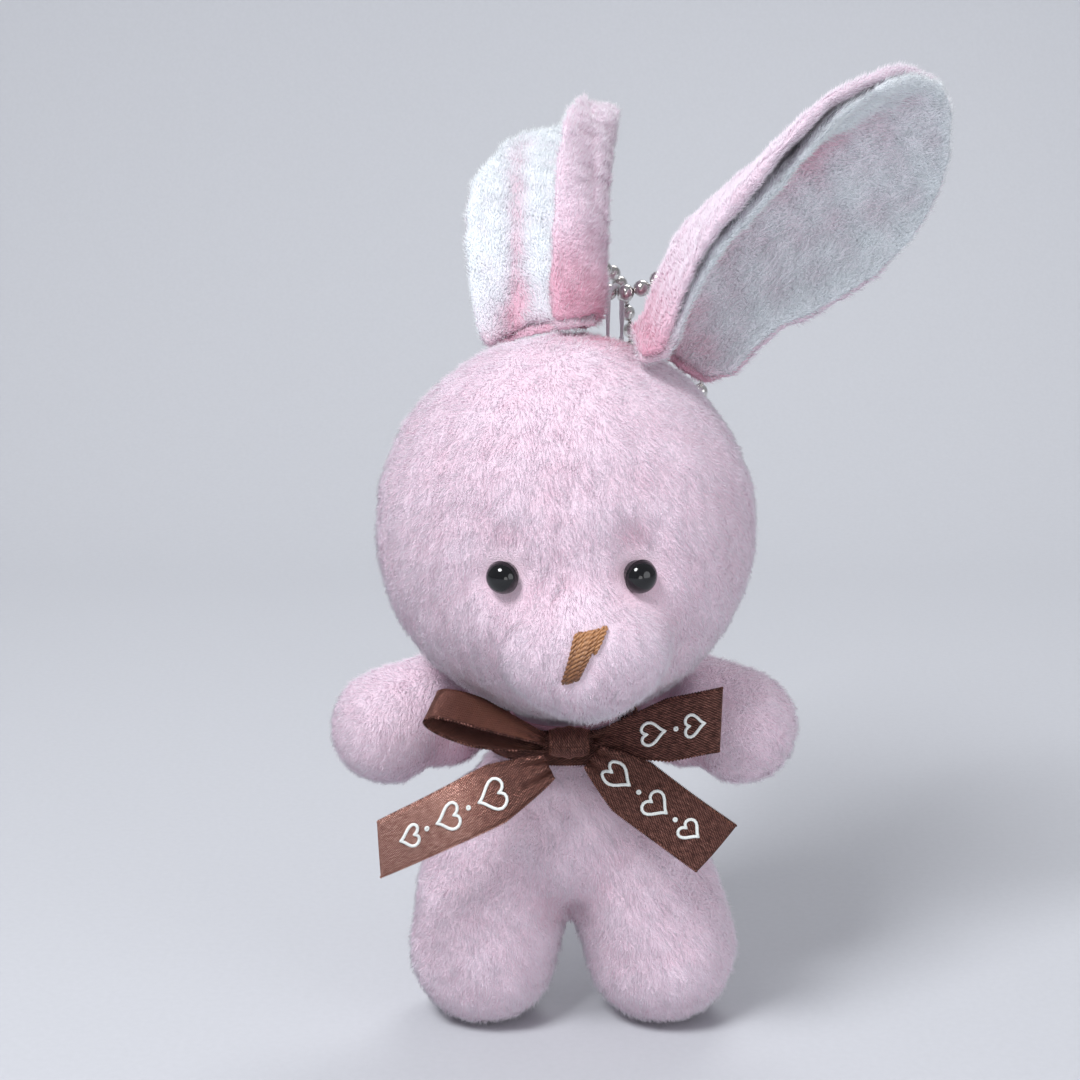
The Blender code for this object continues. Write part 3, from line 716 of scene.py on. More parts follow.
def make_head_skin():
    """The head: cover and filling fused, blown out between the stitches at the eyes, nose, neck and the seam down
    the back.
    """
    plugs = [(place - axis * 2.6 * MM, 2.2 * MM) for place, axis, _ in map(eye_place, SIDES)]
    neck = PIVOT["head_nod"]
    plugs.append((neck + Vector((0, 0, 6 * MM)), 8.5 * MM))

    def stitched(points):
        held = points[:, 2] < neck.z + 4 * MM
        for side in SIDES:
            place, _, radius = eye_place(side)
            held |= distance(points, place) < radius * 1.7
        held |= distance(points, middle("nose_embroidery")) < 3.5 * MM
        return held | (np.abs(points[:, 0] - neck.x) < 0.8 * MM) & (points[:, 1] > neck.y + 2 * MM)

    nodes = (("head_cover", 0.0), ("head_stuffing", FILLING_SWELL))
    skin = sewn_skin("head_skin", nodes, SKIN_VOXEL, plugs, 18, stitched)

    points, normals = get_points(skin.data), get_normals(skin.data)
    depth = np.zeros(len(points))
    for side, sign in SIDES.items():
        place, _, radius = eye_place(side)
        brow = place + Vector((-0.6 * sign * MM, 0, 6.5 * MM))
        depth += EYE_SOCKET * near(points, place, radius * 1.5)
        depth += BROW_HOLLOW * near(points, brow, (3.6 * MM, 9 * MM, 2.8 * MM))
        cheek = place + Vector((2.0 * sign * MM, 0, -10 * MM))
        depth -= CHEEK_FULLNESS * near(points, cheek, 6.5 * MM)
    seam = (points[:, 1] > neck.y) * np.exp(-((points[:, 0] - neck.x) / SEAM_HALF_WIDTH) ** 2)
    depth += HEAD_SEAM * seam
    depth += 0.22 * MM * ripple(points, 14 * MM, 5)
    set_points(skin.data, points - normals * depth[:, None])
    subdivided(skin)

    points = get_points(skin.data)
    # painted shade: darker, pinker fabric in the head's hollows
    shade = painted_hollow_shade(skin.data, 14, 0.35)
    # painted shade round the roots of the ears, where they are sewn on
    for side in SIDES:
        shade -= 0.5 * near(points, PIVOT[f"ear_{side}_flop"], 7 * MM)
    finish_skin(skin, plush_skin_look("pink_plush_ground", PINKS), shade, "head",
                ["head_cover", "head_stuffing"])
    return skin


def head_trim(points):
    """The pile is worn short round the eyes and away under the nose stitching."""
    share = np.ones(len(points))
    for side in SIDES:
        place, _, radius = eye_place(side)
        apart = distance(points, place) / radius
        share *= np.clip((apart - 0.75) / 1.1, 0.0, 1.0)
    share *= nose_clear(points)
    chin = middle("nose_embroidery") + Vector((0, 3 * MM, -12 * MM))
    return share * (1 + 0.8 * near(points, chin, 8 * MM))


def nose_corners():
    """The nose wedge's corners on the face: top left, top right, bottom right, bottom left."""
    return [far_point("nose_embroidery", way)
            for way in ((-1, 0, 0.8), (1, 0, 0.8), (1, 0, -1.6), (-0.6, 0, -1.6))]


def nose_clear(points):
    """0 on the nose wedge, rising to 1 a millimetre and a half outside it."""
    corners = nose_corners()
    inside = np.full(len(points), np.inf)
    for k, corner in enumerate(corners):
        edge = corners[(k + 1) % 4] - corner
        inward = np.array((edge.z, 0, -edge.x)) / math.hypot(edge.x, edge.z)
        inside = np.minimum(inside, (points - np.array(corner)) @ inward)
    front = points[:, 1] < corners[0].y + 8 * MM
    return np.where(front, np.clip(-inside / (1.4 * MM) + 0.25, 0.0, 1.0), 1.0)


def head_flow(points):
    """The pile lies down and away from the middle of the face."""
    centre = middle("head_cover")
    away = (points - np.array(centre)) * (1 / (30 * MM))
    return away * (0.6, 0.2, 0.1) + (0, 0, -0.8)


def make_head():
    skin = make_head_skin()
    look = plush_pile_look("pink_plush_pile", PINKS)
    centre = middle("head_cover")
    parts = {
        "front_left": lambda p: (p[:, 1] < centre.y) & (p[:, 0] < centre.x),
        "front_right": lambda p: (p[:, 1] < centre.y) & (p[:, 0] >= centre.x),
        "back": lambda p: p[:, 1] >= centre.y,
    }
    for number, (part, within) in enumerate(parts.items()):
        grow_pile(f"head_pile_{part}", skin, look, head_flow, 40 + 10 * number, "head",
                  head_trim, within)
    return skin


def make_eyes():
    """Glossy domed eyes with a thin moulded rim."""
    look = eye_look()
    for side in SIDES:
        place, axis, radius = eye_place(side)
        radius *= EYE_SHOWN
        profile = [(-1.6 * MM, 1e-6), (-1.6 * MM, radius * 0.8), (-0.2 * MM, radius * 0.86),
                   (0.0, radius * 1.0), (0.12 * MM, radius * 1.02), (0.24 * MM, radius * 0.99)]
        rows = 16
        for row in range(1, rows + 1):
            lift = math.pi / 2 * row / rows
            along = 0.24 * MM + (radius * 0.93 - 0.24 * MM) * math.sin(lift)
            profile.append((along, max(radius * 0.985 * math.cos(lift), 1e-6)))
        eye = joined(f"eye_dome_{side}", [turned(profile, place, axis, 48)])
        dressed(eye, look, "head", [f"eye_{side}"])


def make_nose(skin):
    """Satin-stitched nose: twisted threads run down the wedge, side by side, and dip in at both ends.
    The two or three on the right are short."""
    surface = BVHTree.FromObject(skin, bpy.context.evaluated_depsgraph_get())
    top_left, top_right, low_right, low_left = nose_corners()
    rng = np.random.default_rng(77)

    def on_face(across, down, lift):
        across = 0.86 * across
        top = top_left.lerp(top_right, across)
        low = low_left.lerp(low_right, across)
        at = top.lerp(low, down)
        hit = surface.ray_cast(Vector((at.x, at.y - 30 * MM, at.z)), Vector((0, 1, 0)))
        return hit[0] + hit[1] * lift

    threads, shades = [], []
    count, steps, ply = 12, 34, 0.165 * MM
    for layer in range(2):
        for number in range(count):
            across = (number + 0.5) / count + 0.02 * rng.normal()
            start = rng.uniform(0.0, 0.03)
            end = (1.0 if across < 0.8 else 0.48) - rng.uniform(0.0, 0.05)
            lean = rng.uniform(-0.05, 0.05) + 0.04 * layer
            centre = []
            for step in range(steps):
                part = step / (steps - 1)
                rise = (0.32 + 0.2 * layer) * MM * math.sin(math.pi * part) ** 0.35 - 0.12 * MM
                centre.append(on_face(min(max(across + lean * (part - 0.5), 0.0), 1.0),
                                      start + (end - start) * part, rise + 0.1 * MM))
            centre = np.array([tuple(c) for c in centre])
            along = unit(np.gradient(centre, axis=0))
            side = unit(np.cross(along, (0, 1, 0)))
            over = np.cross(along, side)
            length = np.linalg.norm(np.diff(centre, axis=0), axis=1).sum()
            turns = 2 * math.pi * np.linspace(0, length / (1.7 * MM), steps) + rng.uniform(0, 6)
            for half in (0.0, math.pi):
                swing = (turns + half)[:, None]
                path = centre + (side * np.cos(swing) + over * np.sin(swing)) * ply
                threads.append(tube(path, ply * 1.05, 6))
                shade = 0.85 - 0.6 * np.linspace(start, end, steps) + 0.12 * rng.normal()
                # painted highlight and shade along each ply's twist
                shade += 0.22 * np.sin(turns + half)
                shades.append(np.repeat(shade, 6))
    nose = joined("nose_stitching", threads)
    set_shade(nose.data, np.concatenate(shades))
    dressed(nose, nose_look(), "head", ["nose_embroidery"])


# ---- the body and arms ----

def make_body():
    """Torso and legs as one skin, held at the neck and the soles, and drawn in along the seam down the back."""
    neck = PIVOT["head_turn"]
    plugs = [(neck + Vector((0, 0, -3 * MM)), 8.2 * MM), (neck + Vector((0, 0, 1.5 * MM)), 6.5 * MM)]

    def stitched(points):
        held = (points[:, 2] > neck.z - 4 * MM) | (points[:, 2] < 1.2 * MM)
        return held | (np.abs(points[:, 0] - neck.x) < 0.8 * MM) & (points[:, 1] > neck.y)

    nodes = (("body_cover", 0.0), ("body_stuffing", FILLING_SWELL))
    skin = sewn_skin("body_skin", nodes, SKIN_VOXEL, plugs, 14, stitched)
    points, normals = get_points(skin.data), get_normals(skin.data)
    depth = 0.2 * MM * ripple(points, 13 * MM, 8)
    back = (points[:, 1] > neck.y) * (points[:, 2] < neck.z - 3 * MM)
    depth += BODY_SEAM * back * np.exp(-((points[:, 0] - neck.x) / SEAM_HALF_WIDTH) ** 2)
    points -= normals * (depth * np.clip(points[:, 2] / (6 * MM), 0, 1))[:, None]
    points[:, 2] = np.maximum(points[:, 2], FLOOR_GAP)
    set_points(skin.data, points)
    subdivided(skin)
    # painted shade: darker, pinker fabric in the body's hollows and creases
    finish_skin(skin, bpy.data.materials["pink_plush_ground"], painted_hollow_shade(skin.data, 14, 0.4),
                "torso", ["body_cover", "body_stuffing"])
    ribbon_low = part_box("neck_ribbon")[0].z

    def trim(points):
        return np.clip((ribbon_low + 2.0 * MM - points[:, 2]) / (3 * MM), 0.0, 1.0)

    def flow(points):
        aside = (points[:, 0] - neck.x) * 12
        return np.column_stack([aside, np.zeros(len(points)), np.full(len(points), -0.9)])

    for number, (part, sign) in enumerate((("front", -1), ("back", 1))):
        grow_pile(f"body_pile_{part}", skin, bpy.data.materials["pink_plush_pile"], flow,
                  80 + 10 * number, "torso", trim, lambda p, sign=sign: (p[:, 1] - neck.y) * sign >= 0)


def make_arms():
    """Each arm is one skin and its pile, reaching into the torso at the shoulder."""
    ground, pile = (bpy.data.materials[f"pink_plush_{part}"] for part in ("ground", "pile"))
    for number, (side, sign) in enumerate(SIDES.items()):
        shoulder = PIVOT[f"arm_{side}_swing"]
        cover, stuffing = f"arm_cover_{side}", f"arm_stuffing_{side}"
        plugs = [(shoulder + Vector((-sign, 0, 1.8)) * MM, 5.4 * MM),
                 (shoulder.lerp(middle(cover), 0.35), 6.8 * MM)]
        nodes = ((cover, 0.0), (stuffing, FILLING_SWELL))
        skin = sewn_skin(f"arm_skin_{side}", nodes, SKIN_VOXEL * 0.8, plugs, 6,
                         lambda p, shoulder=shoulder: distance(p, shoulder) < 5 * MM, SWELL_CAP * 0.7)
        subdivided(skin)
        # painted shade: darker, pinker fabric in the arm's hollows and round the shoulder, where it meets the
        # torso
        shade = painted_hollow_shade(skin.data, 10, 0.3) - 0.4 * near(get_points(skin.data), shoulder, 7 * MM)
        finish_skin(skin, ground, shade, stands_for=[cover, stuffing])

        def flow(points, sign=sign):
            return np.tile((0.7 * sign, -0.1, -0.6), (len(points), 1))

        fibres = grow_pile(f"arm_pile_{side}", skin, pile, flow, 120 + 10 * number)
        for piece in (skin, fibres):
            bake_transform(piece)


# ---- the ears ----

def shaped_ear(points, side, part, base, length):
    """Gives a rigid CAD ear the softer shape of sewn plush: its points, and how far each lies in the crease.

    The left ear is folded shut, so the wall behind runs up to meet the tip. The right one is cupped, and its
    pink back comes forward past the lining along the upper edge. Both are creased along the lining."""
    box_low, box_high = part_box(f"ear_back_{side}")
    up = np.clip((points[:, 2] - base.z) / (box_high.z - base.z), 0.0, 1.0)
    if side == "left":
        behind = np.maximum(box_high.x - 5 * MM - points[:, 0], 0.0)
        points = points + np.outer(behind * up ** 2, (0.7, 0.0, 0.85))
        points[:, 2] -= 0.6 * np.maximum(points[:, 2] - (box_high.z - 7 * MM), 0.0)
        crease = 0.4 * np.exp(-((box_high.x - points[:, 0] - 17 * MM) / (2.6 * MM)) ** 2) * (1 - 0.5 * up)
        points[:, 1] += 4 * MM * crease
        return points, crease
    run, across, face = ribbon_axes(f"ear_lining_{side}", base)
    if across.z < 0:
        across = -across
    centre = middle(f"ear_lining_{side}")
    offset = points - np.array(centre)
    half = np.abs((node_points(f"ear_lining_{side}") - np.array(centre)) @ np.array(across)).max()
    q = np.clip(offset @ np.array(across) / half, -1.2, 1.2)
    t = np.clip((points - np.array(base)) @ np.array(run) / length, 0.0, 1.0)
    leaf = np.sin(math.pi * t ** 0.8)
    upper, lower = np.maximum(q, 0.0) ** 1.5, np.maximum(-q, 0.0) ** 1.5
    wider = ((3.0 + (4.5 if part == "back" else 0.0)) * upper - 4.0 * lower) * MM * leaf
    crease = np.exp(-((q + 0.15) / 0.24) ** 2) * leaf * (1 - 0.6 * t)
    hollow = (4.6 * (1 - np.minimum(q * q, 1.0)) - 1.5 * upper) * MM * leaf + 3.0 * MM * crease
    return points + np.outer(wider, np.array(across)) - np.outer(hollow, np.array(face)), crease


def make_ears():
    """Each ear is a pink back and a white lining, soft at the rim and drawn together where it is sewn on."""
    looks = {"back": ("pink_plush", bpy.data.materials["pink_plush_ground"],
                      bpy.data.materials["pink_plush_pile"]),
             "lining": ("white_plush", plush_skin_look("white_plush_ground", WHITES),
                        plush_pile_look("white_plush_pile", WHITES))}
    for number, side in enumerate(SIDES):
        base = PIVOT[f"ear_{side}_flop"]
        points = np.concatenate([node_points(f"ear_{part}_{side}") for part in looks])
        tip = Vector(points[np.argmax(distance(points, base))])
        along = (tip - base).normalized()
        for step, (part, (slot, ground, pile)) in enumerate(looks.items()):
            node = f"ear_{part}_{side}"
            skin = fused(f"ear_{part}_skin_{side}", ((node, 0.0),), EAR_VOXEL)
            points = relaxed(skin.data, get_points(skin.data), 6)
            set_points(skin.data, points)
            points, crease = shaped_ear(points, side, part, base, (tip - base).length)
            set_points(skin.data, points)
            normals = get_normals(skin.data)
            points += normals * (0.25 + 0.22 * ripple(points, 9 * MM, 31 + number))[:, None] * MM
            set_points(skin.data, points)
            wide = relaxed(skin.data, points, 60)
            cupped = np.einsum("ij,ij->i", wide - points, normals) / MM
            reach = (points - np.array(base)) @ np.array(along)
            # painted shade: darker and pinker where the ear is cupped, most on the white lining
            shade = 0.66 - (0.5 if part == "lining" else 0.2) * np.clip(cupped, -0.2, 1.2)
            # painted shade at the root of the ear, where it is sewn on
            shade -= 0.45 * np.exp(-(np.maximum(reach, 0) / (8 * MM)) ** 2)
            # painted shade along the lining's crease
            if part == "lining":
                shade -= 0.6 * crease
            finish_skin(skin, ground, shade, stands_for=[node])

            def flow(points, along=along):
                return np.tile(tuple(along), (len(points), 1))

            seed = 150 + 40 * number + 20 * step
            fibres = grow_pile(f"ear_{part}_pile_{side}", skin, pile, flow, seed)
            for piece in (skin, fibres):
                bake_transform(piece)


# ---- the ribbon ----

def sheet(surface, rows, columns, thickness=RIBBON_THICK):
    """(points, quads, weave places) of a closed thin sheet. surface(s, q) is its middle, s 0..1, q -1..1,
    and the weave places are millimetres along and across it."""
    grid = np.array([[tuple(surface(r / rows, 2 * c / columns - 1)) for c in range(columns + 1)]
                     for r in range(rows + 1)])
    along = np.gradient(grid, axis=0)
    across = np.gradient(grid, axis=1)
    normal = np.cross(along, across)
    normal /= np.linalg.norm(normal, axis=2)[:, :, None]
    u = np.concatenate([[0], np.cumsum(np.linalg.norm(np.diff(grid[:, columns // 2], axis=0), axis=1))]) / MM
    steps = np.linalg.norm(np.diff(grid, axis=1), axis=2) / MM
    v = np.concatenate([np.zeros((rows + 1, 1)), np.cumsum(steps, axis=1)], 1)
    weave = np.stack([np.repeat(u[:, None], columns + 1, 1), v - v[:, -1:] / 2], 2).reshape(-1, 2)
    points = np.concatenate([(grid - normal * thickness / 2).reshape(-1, 3),
                             (grid + normal * thickness / 2).reshape(-1, 3)])
    width, layer = columns + 1, (rows + 1) * (columns + 1)
    quads = []
    for row in range(rows):
        for column in range(columns):
            a = row * width + column
            quads.append((a, a + 1, a + width + 1, a + width))
            quads.append((layer + a, layer + a + width, layer + a + width + 1, layer + a + 1))
    rim = [(0, c) for c in range(columns)] + [(r, columns) for r in range(rows)]
    rim += [(rows, c) for c in range(columns, 0, -1)] + [(r, 0) for r in range(rows, 0, -1)]
    for k, (r, c) in enumerate(rim):
        r_next, c_next = rim[(k + 1) % len(rim)]
        a, b = r * width + c, r_next * width + c_next
        quads.append((b, a, layer + a, layer + b))
    return points, np.array(quads), np.concatenate([weave, weave])


def selvedge(surface, edge, rows):
    """(points, quads, weave places) of the picot loops along one woven edge of a ribbon."""
    path = np.array([tuple(surface(k / rows, edge)) for k in range(rows + 1)])
    inner = np.array([tuple(surface(k / rows, edge * 0.94)) for k in range(rows + 1)])
    waves = np.cos(np.arange(rows + 1) * math.pi)[:, None]
    path = path + (path - inner) * 0.25 * waves
    points, quads = tube(path, (0.19 + 0.05 * waves[:, 0]) * MM, 6)
    length = np.concatenate([[0], np.cumsum(np.linalg.norm(np.diff(path, axis=0), axis=1))]) / MM
    return points, quads, np.column_stack([np.repeat(length, 6), np.full(len(points), 4.7 * edge)])


def ribbon_piece(name, node, body, surface, rows, look, columns=14, painted_highlight=0.0):
    """A length of ribbon with its two woven edges, in place of a CAD node, with its weave places as UVs.
    The last argument is how much brighter its far half is painted, a painted highlight where the satin's floats
    turn to the light."""
    parts = [sheet(surface, rows, columns)]
    parts += [selvedge(surface, edge, rows * 3) for edge in (-1, 1)]
    obj = joined(name, [part[:2] for part in parts])
    weave = np.concatenate([places for _, _, places in parts])
    layer = obj.data.uv_layers.new(name="weave")
    corner = read(obj.data.loops, "vertex_index", 1, np.int64)[:, 0]
    layer.data.foreach_set("uv", weave[corner].astype(np.float32).ravel())
    # painted highlight: the shade rises along the far half, which the satin's colour turns to copper
    set_shade(obj.data, painted_highlight * np.clip((weave[:, 0] - 7) / 9, 0.0, 1.0))
    return dressed(obj, look, body, [node])


def ribbon_axes(node, root):
    """The way a piece of ribbon runs out from its root, the way across it, and the way it faces."""
    run, across, face = main_ways(node)
    if run.dot(middle(node) - root) < 0:
        run = -run
    if face.y > 0:
        face = -face
    return run, face.cross(run).normalized(), face


def heart(size, points=28):
    """A closed heart outline, this wide, about its own middle."""
    turn = np.linspace(0, 2 * math.pi, points, endpoint=False)
    x = 16 * np.sin(turn) ** 3
    y = 13 * np.cos(turn) - 5 * np.cos(2 * turn) - 2 * np.cos(3 * turn) - np.cos(4 * turn) + 2.5
    return np.column_stack([x, y]) * size / 32


def ink_side(surface):
    """1 or -1: which side of the ribbon faces the front."""
    probe = surface(0.5, 0.0)
    facing = (surface(0.51, 0) - probe).cross(surface(0.5, 0.02) - probe)
    return -1 if facing.y > 0 else 1


def printed_motif(surface, start, length, half_width, first=0):
    """(points, quads) of a row of hearts and dots in raised ink along a ribbon. start, in metres, is where
    the row would begin, and first is how many of its marks are left out."""
    front = ink_side(surface)

    def inked(flat):
        """The ink's path, lifted just clear of the ribbon."""
        placed = []
        for u, v in flat:
            s, q = u / length, v / half_width
            along = surface(min(s + 0.01, 1), q) - surface(max(s - 0.01, 0), q)
            over = surface(s, min(q + 0.02, 1)) - surface(s, max(q - 0.02, -1))
            lift = (RIBBON_THICK / 2 + INK_LIFT) * front
            placed.append(surface(s, q) + along.cross(over).normalized() * lift)
        return np.array([tuple(p) for p in placed])

    turn = np.linspace(0, 2 * math.pi, 10, endpoint=False)
    dot = np.column_stack([np.cos(turn), np.sin(turn)]) * DOT_RADIUS
    parts = []
    for place, width in MARKS[first:]:
        if width is None:
            parts.append(tube(inked(dot + (start + place, 0)), DOT_INK, 6, closed=True))
        else:
            outline = heart(width)
            flat = np.column_stack([start + place - outline[:, 1], outline[:, 0]])
            parts.append(tube(inked(flat), INK_RADIUS, 6, closed=True))
    return parts


def make_tail(side, look, ink):
    """A hanging end of the bow: gathered at the knot, bowed forward, cut on a slant, and printed."""
    root = PIVOT[f"tail_{side}_lift"]
    node = f"ribbon_tail_{side}"
    run, across, face = ribbon_axes(node, root)
    if across.z < 0:
        across = -across
    high = far_point(node, run * 1.5 + across)
    low = far_point(node, run * 1.5 - across)
    half = (high - low).dot(across) / 2
    long_high, long_low = (high - root).dot(run), (low - root).dot(run)
    twist = 0.35 if side == "left" else -0.2

    def surface(s, q):
        spread = 0.42 + 0.58 * min(1.0, s * 3.2) ** 0.8
        out = s * (long_high * (1 + q) + long_low * (1 - q)) / 2
        lift = 1.6 * MM * math.sin(math.pi * 0.85 * s) + 0.25 * MM * math.sin(9 * s + 1.5 * q)
        crimp = 0.5 * MM * math.cos(q * 7) * max(0.0, 1 - s * 4)
        curl = 0.5 * MM * q * q * s
        turn = twist * s * s
        sideways = across * math.cos(turn) + face * math.sin(turn)
        return root + run * out + face * (lift + crimp - curl) + sideways * half * q * spread

    # painted highlight on the left tail's far half, and a trace on the right
    painted_highlight = 0.3 if side == "left" else 0.03
    ribbon_piece(f"ribbon_tail_cloth_{side}", node, f"tail_{side}", surface, 60, look, painted_highlight=painted_highlight)
    size = (long_high + long_low) / 2
    marks = joined(f"ribbon_print_{side}", printed_motif(surface, size - PRINT_LENGTH, size, half))
    dressed(marks, ink, f"tail_{side}")


def make_loop(side, look, ink):
    """A loop of the bow: out, round the end and back, creased at the fold and gathered at the knot."""
    root = PIVOT[f"bow_{side}_flex"]
    node = f"bow_loop_{side}"
    run, across, face = ribbon_axes(node, root)
    points = node_points(node) - np.array(root)
    length = float((points @ np.array(run)).max())
    half = float(np.ptp(points @ np.array(across)) / 2)
    centre = float((points @ np.array(across)).mean())
    level = float((points @ np.array(face)).mean())
    raised = 2.6 * MM if side == "left" else 0.0

    def surface(s, q):
        turn = math.pi * (2 * s - 1)
        reach = (1 + math.cos(turn)) / 2
        apart = 2.1 * MM * math.sin(turn) * (0.3 + 0.7 * reach) - RIBBON_THICK * 1.4 * (1 - 2 * s)
        spread = 0.36 + 0.64 * min(1.0, reach * 1.7)
        crimp = 0.35 * MM * math.cos(q * 6) * max(0.0, 1 - reach * 3)
        slant = 0.06 * q * reach * length
        return (root + run * (reach * length + slant) + face * (level - apart + crimp)
                + across * (centre + half * q * spread) + Vector((0, 0, raised * reach)))

    ribbon_piece(f"bow_loop_cloth_{side}", node, f"bow_{side}", surface, 72, look)
    if side == "right":
        def front(reach, q):
            """The loop's front layer, from the knot out to the fold."""
            return surface(math.asin(math.sqrt(reach)) / math.pi, q)

        marks = joined("ribbon_print_loop", printed_motif(front, length - LOOP_PRINT_LENGTH, length, half, 2))
        dressed(marks, ink, f"bow_{side}")


def make_knot(look):
    """The knot: ribbon wrapped over the middle of the bow, with creases along the wrap."""
    centre = middle("bow_knot")
    low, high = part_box("bow_knot")
    size = (high - low) / 2

    def surface(s, q):
        turn = 2 * math.pi * s
        crease = 1 + 0.06 * math.cos(q * 9) * (1 - q * q)
        pinch = 1 - 0.22 * q * q
        return centre + Vector((size.x * 0.95 * q, -size.y * crease * pinch * math.cos(turn),
                                size.z * (0.3 + 0.78 * crease * pinch * math.sin(turn))))

    ribbon_piece("bow_knot_cloth", "bow_knot", "torso", surface, 40, look, columns=18)


def make_neck_band(look):
    """The band of ribbon drawn tight round the neck, rumpled by the gathering."""
    low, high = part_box("neck_ribbon")
    centre, size = (low + high) / 2, (high - low) / 2

    def surface(s, q):
        turn = 2 * math.pi * s
        rumple = 0.3 * MM * math.sin(13 * turn + 2 * q) * (1 - q * q)
        wide = size.x - (0.4 + 0.35 * q) * MM + rumple
        deep = size.y - (0.4 + 0.3 * q) * MM + rumple
        return centre + Vector((wide * math.sin(turn), deep * math.cos(turn), size.z * q * 1.05))

    ribbon_piece("neck_ribbon_cloth", "neck_ribbon", "torso", surface, 120, look, columns=6)


def make_ribbon():
    look, ink = satin_look(), print_look()
    make_neck_band(look)
    make_knot(look)
    for side in SIDES:
        make_loop(side, look, ink)
        make_tail(side, look, ink)


# ---- the chain ----

def ball_of(node):
    """A chain ball's centre, radius, the way its link points, and how far the link reaches."""
    points = node_points(node)
    apart = np.linalg.norm(points[:, None] - points[None], axis=2)
    first, second = np.unravel_index(np.argmax(apart), apart.shape)
    centroid = points.mean(axis=0)
    ends = sorted((points[first], points[second]), key=lambda p: np.linalg.norm(p - centroid))
    pole, tip = ends
    axis = (tip - pole) / np.linalg.norm(tip - pole)
    offsets = points - pole
    radii = np.linalg.norm(offsets - np.outer(offsets @ axis, axis), axis=1)
    radius = radii.max() / math.cos(math.pi / 10)
    tip_points = points[(offsets @ axis) > (tip - pole) @ axis - 0.05 * MM]
    axis = tip_points.mean(axis=0) - pole
    length = np.linalg.norm(axis)
    axis /= length
    return pole + axis * radius, radius, axis, length - radius


def chain_ball(node):
    """(points, quads) of a rolled steel ball with collars where its links go in, and its link."""
    centre, radius, axis, reach = ball_of(node)
    rod = radius * 0.27
    profile = [(-radius * 0.86, 1e-6), (-radius * 0.86, rod), (-radius * 0.95, rod * 1.2)]
    rows = 14
    for row in range(1, rows):
        lift = math.pi * (row / rows - 0.5)
        seam = 1 - 0.012 * math.exp(-(lift / 0.06) ** 2)
        profile.append((radius * seam * math.sin(lift), radius * seam * math.cos(lift)))
    profile += [(radius * 0.95, rod * 1.2), (radius * 0.9, rod)]
    if reach > radius * 1.15:
        profile += [(radius * 1.1, rod * 0.85), (reach - 0.1 * MM, rod * 0.85), (reach + 0.3 * MM, rod * 1.1)]
        profile.append((reach + 0.3 * MM, 1e-6))
    else:
        profile.append((radius * 0.9, 1e-6))
    return turned(profile, Vector(centre), Vector(axis), 20)


def make_chain():
    """One piece for the balls of each chain body."""
    look = steel_look()
    for body, members in frame["record"]["behaviour"]["bodies"].items():
        nodes = [node for node in members if node.startswith("chain_ball")]
        if nodes:
            balls = joined(f"ball_links_{body}", [chain_ball(node) for node in nodes])
            dressed(balls, look, body, nodes)
    make_connector(look)


def make_connector(look):
    """The clasp sleeve: a rolled tube with turned-in ends and a shallow waist round its middle."""
    centre = middle("chain_connector")
    axis = main_ways("chain_connector")[0]
    offsets = node_points("chain_connector") - np.array(centre)
    half = float((offsets @ np.array(axis)).max())
    radius = float(np.linalg.norm(offsets - np.outer(offsets @ np.array(axis), np.array(axis)), axis=1).max())
    bore = radius * 0.82
    lip = 0.12 * MM
    profile = [(-half, bore), (-half - 0.02 * MM, (bore + radius) / 2), (-half + lip, radius)]
    profile += [(-half * 0.45, radius), (-half * 0.4, radius * 0.965), (half * 0.4, radius * 0.965),
                (half * 0.45, radius)]
    profile += [(half - lip, radius), (half + 0.02 * MM, (bore + radius) / 2), (half, bore), (-half, bore)]
    sleeve = joined("connector_sleeve", [turned(profile, centre, axis, 36)])
    dressed(sleeve, look, "connector", ["chain_connector"])


def make_hanging_loop():
    """The loop of twisted cord between the ears."""
    low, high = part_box("hanging_loop")
    centre, size = (low + high) / 2, (high - low) / 2
    thick = 0.5 * MM
    heading = Vector((size.x, size.y, 0)).normalized()
    wide = math.hypot(size.x, size.y) - thick * 1.2
    tall = size.z - thick
    count = 90
    turn = 2 * math.pi * np.arange(count) / count
    rise = np.sign(np.sin(turn)) * (tall - wide) + wide * np.sin(turn)
    middle_path = np.array(centre) + np.outer(np.cos(turn) * wide, np.array(heading))
    middle_path[:, 2] += rise
    along = unit(np.roll(middle_path, -1, 0) - np.roll(middle_path, 1, 0))
    side = np.cross(heading, (0, 0, 1))
    over = np.cross(along, side)
    parts = []
    for half in (0.0, math.pi):
        swing = (14 * turn + half)[:, None]
        path = middle_path + (side * np.cos(swing) + over * np.sin(swing)) * thick * 0.42
        parts.append(tube(path, thick * 0.5, 8, closed=True))
    dressed(joined("hanging_cord", parts), cord_look(), "cord", ["hanging_loop"])


def dress_hidden_nodes():
    """The CAD nodes that keep their shape: the washers behind the eyes and the stitching at the neck."""
    nylon = plain_fibre_look("white_nylon", linear(212, 212, 206), linear(236, 236, 230), 1.4)
    thread = plain_fibre_look("pink_sewing_thread", linear(214, 150, 172), linear(240, 190, 206), 5.0)
    for side in SIDES:
        NODES[f"eye_washer_{side}"].material_slots[0].material = nylon
    NODES["neck_seam_thread"].material_slots[0].material = thread


# ---- the studio ----

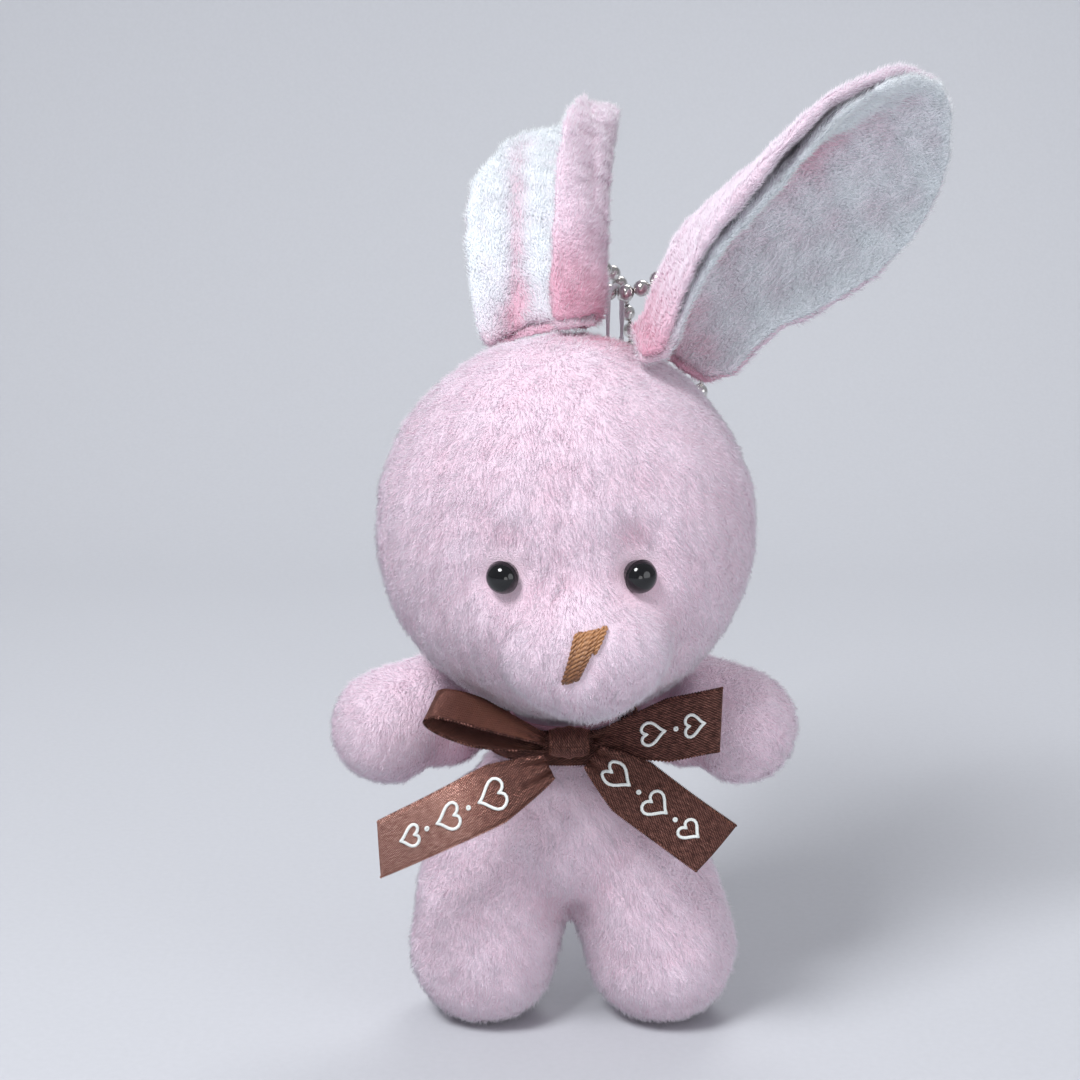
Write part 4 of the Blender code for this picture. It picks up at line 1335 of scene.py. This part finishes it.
def make_studio():
    """A pale floor that curves up into a backdrop."""
    wide, depth, height, bend = 1.4, 0.55, 0.9, 0.25
    rows = 24
    outline = [(-0.9, 0.0), (depth - bend, 0.0)]
    for row in range(1, rows):
        turn = math.pi / 2 * row / rows
        outline.append((depth - bend + bend * math.sin(turn), bend - bend * math.cos(turn)))
    outline += [(depth, bend), (depth, height)]
    points = np.array([(x, y, z) for y, z in outline for x in (-wide, wide)])
    quads = np.array([(2 * k, 2 * k + 1, 2 * k + 3, 2 * k + 2) for k in range(len(outline) - 1)])
    floor = from_arrays("studio_floor", points, quads)
    look = Look("studio_paper", Roughness=0.9)
    grain = look.noise(look.place(), 0.8, 3.0)
    look.colour(grain, (0.3, linear(188, 190, 195)), (0.7, linear(191, 193, 198)))
    floor.data.materials.append(look.material)


def add_light(name, place, aim, size, power, colour=(1, 1, 1)):
    data = bpy.data.lights.new(name, "AREA")
    data.shape = "DISK"
    data.size = size
    data.energy = power
    data.color = colour
    lamp = add_object(name, data)
    lamp.location = place
    lamp.rotation_mode = "QUATERNION"
    lamp.rotation_quaternion = (aim - place).to_track_quat("-Z", "Y")


def make_lights(aim):
    add_light("key_light", aim + Vector((-0.3, -0.4, 0.62)), aim, 0.3, 6.6, (0.97, 0.98, 1.0))
    add_light("fill_light", aim + Vector((0.6, -0.5, 0.1)), aim, 0.6, 1.9, (0.95, 0.97, 1.0))
    add_light("low_light", aim + Vector((0.12, -0.6, -0.02)), aim + Vector((0.03, 0, 0.04)), 0.25, 0.4)
    add_light("rim_light", aim + Vector((0.15, 0.5, 0.55)), aim, 0.4, 2.4)
    world = bpy.data.worlds.new("studio")
    world.use_nodes = True
    world.node_tree.nodes["Background"].inputs["Color"].default_value = (0.93, 0.94, 1.0, 1)
    world.node_tree.nodes["Background"].inputs["Strength"].default_value = 0.36
    bpy.context.scene.world = world
    bpy.context.scene.view_settings.view_transform = "Standard"


def make_camera(aim):
    """Looks a little down at the front, from arm's length on a phone."""
    lift, distance, across = math.radians(13), 0.36, 0.1742
    data = bpy.data.cameras.new("camera")
    data.lens = data.sensor_width * distance / across
    camera = add_object("camera", data)
    camera.location = aim + Vector((0, -math.cos(lift), math.sin(lift))) * distance
    camera.rotation_mode = "QUATERNION"
    camera.rotation_quaternion = (aim - camera.location).to_track_quat("-Z", "Y")
    bpy.context.scene.camera = camera


def main():
    skin = make_head()
    make_body()
    make_arms()
    make_ears()
    make_eyes()
    make_nose(skin)
    make_ribbon()
    make_chain()
    make_hanging_loop()
    dress_hidden_nodes()
    make_studio()
    neck = PIVOT["head_turn"]
    aim = Vector((neck.x + VIEW_ASIDE, neck.y, VIEW_HEIGHT))
    make_lights(aim)
    make_camera(aim)


main()
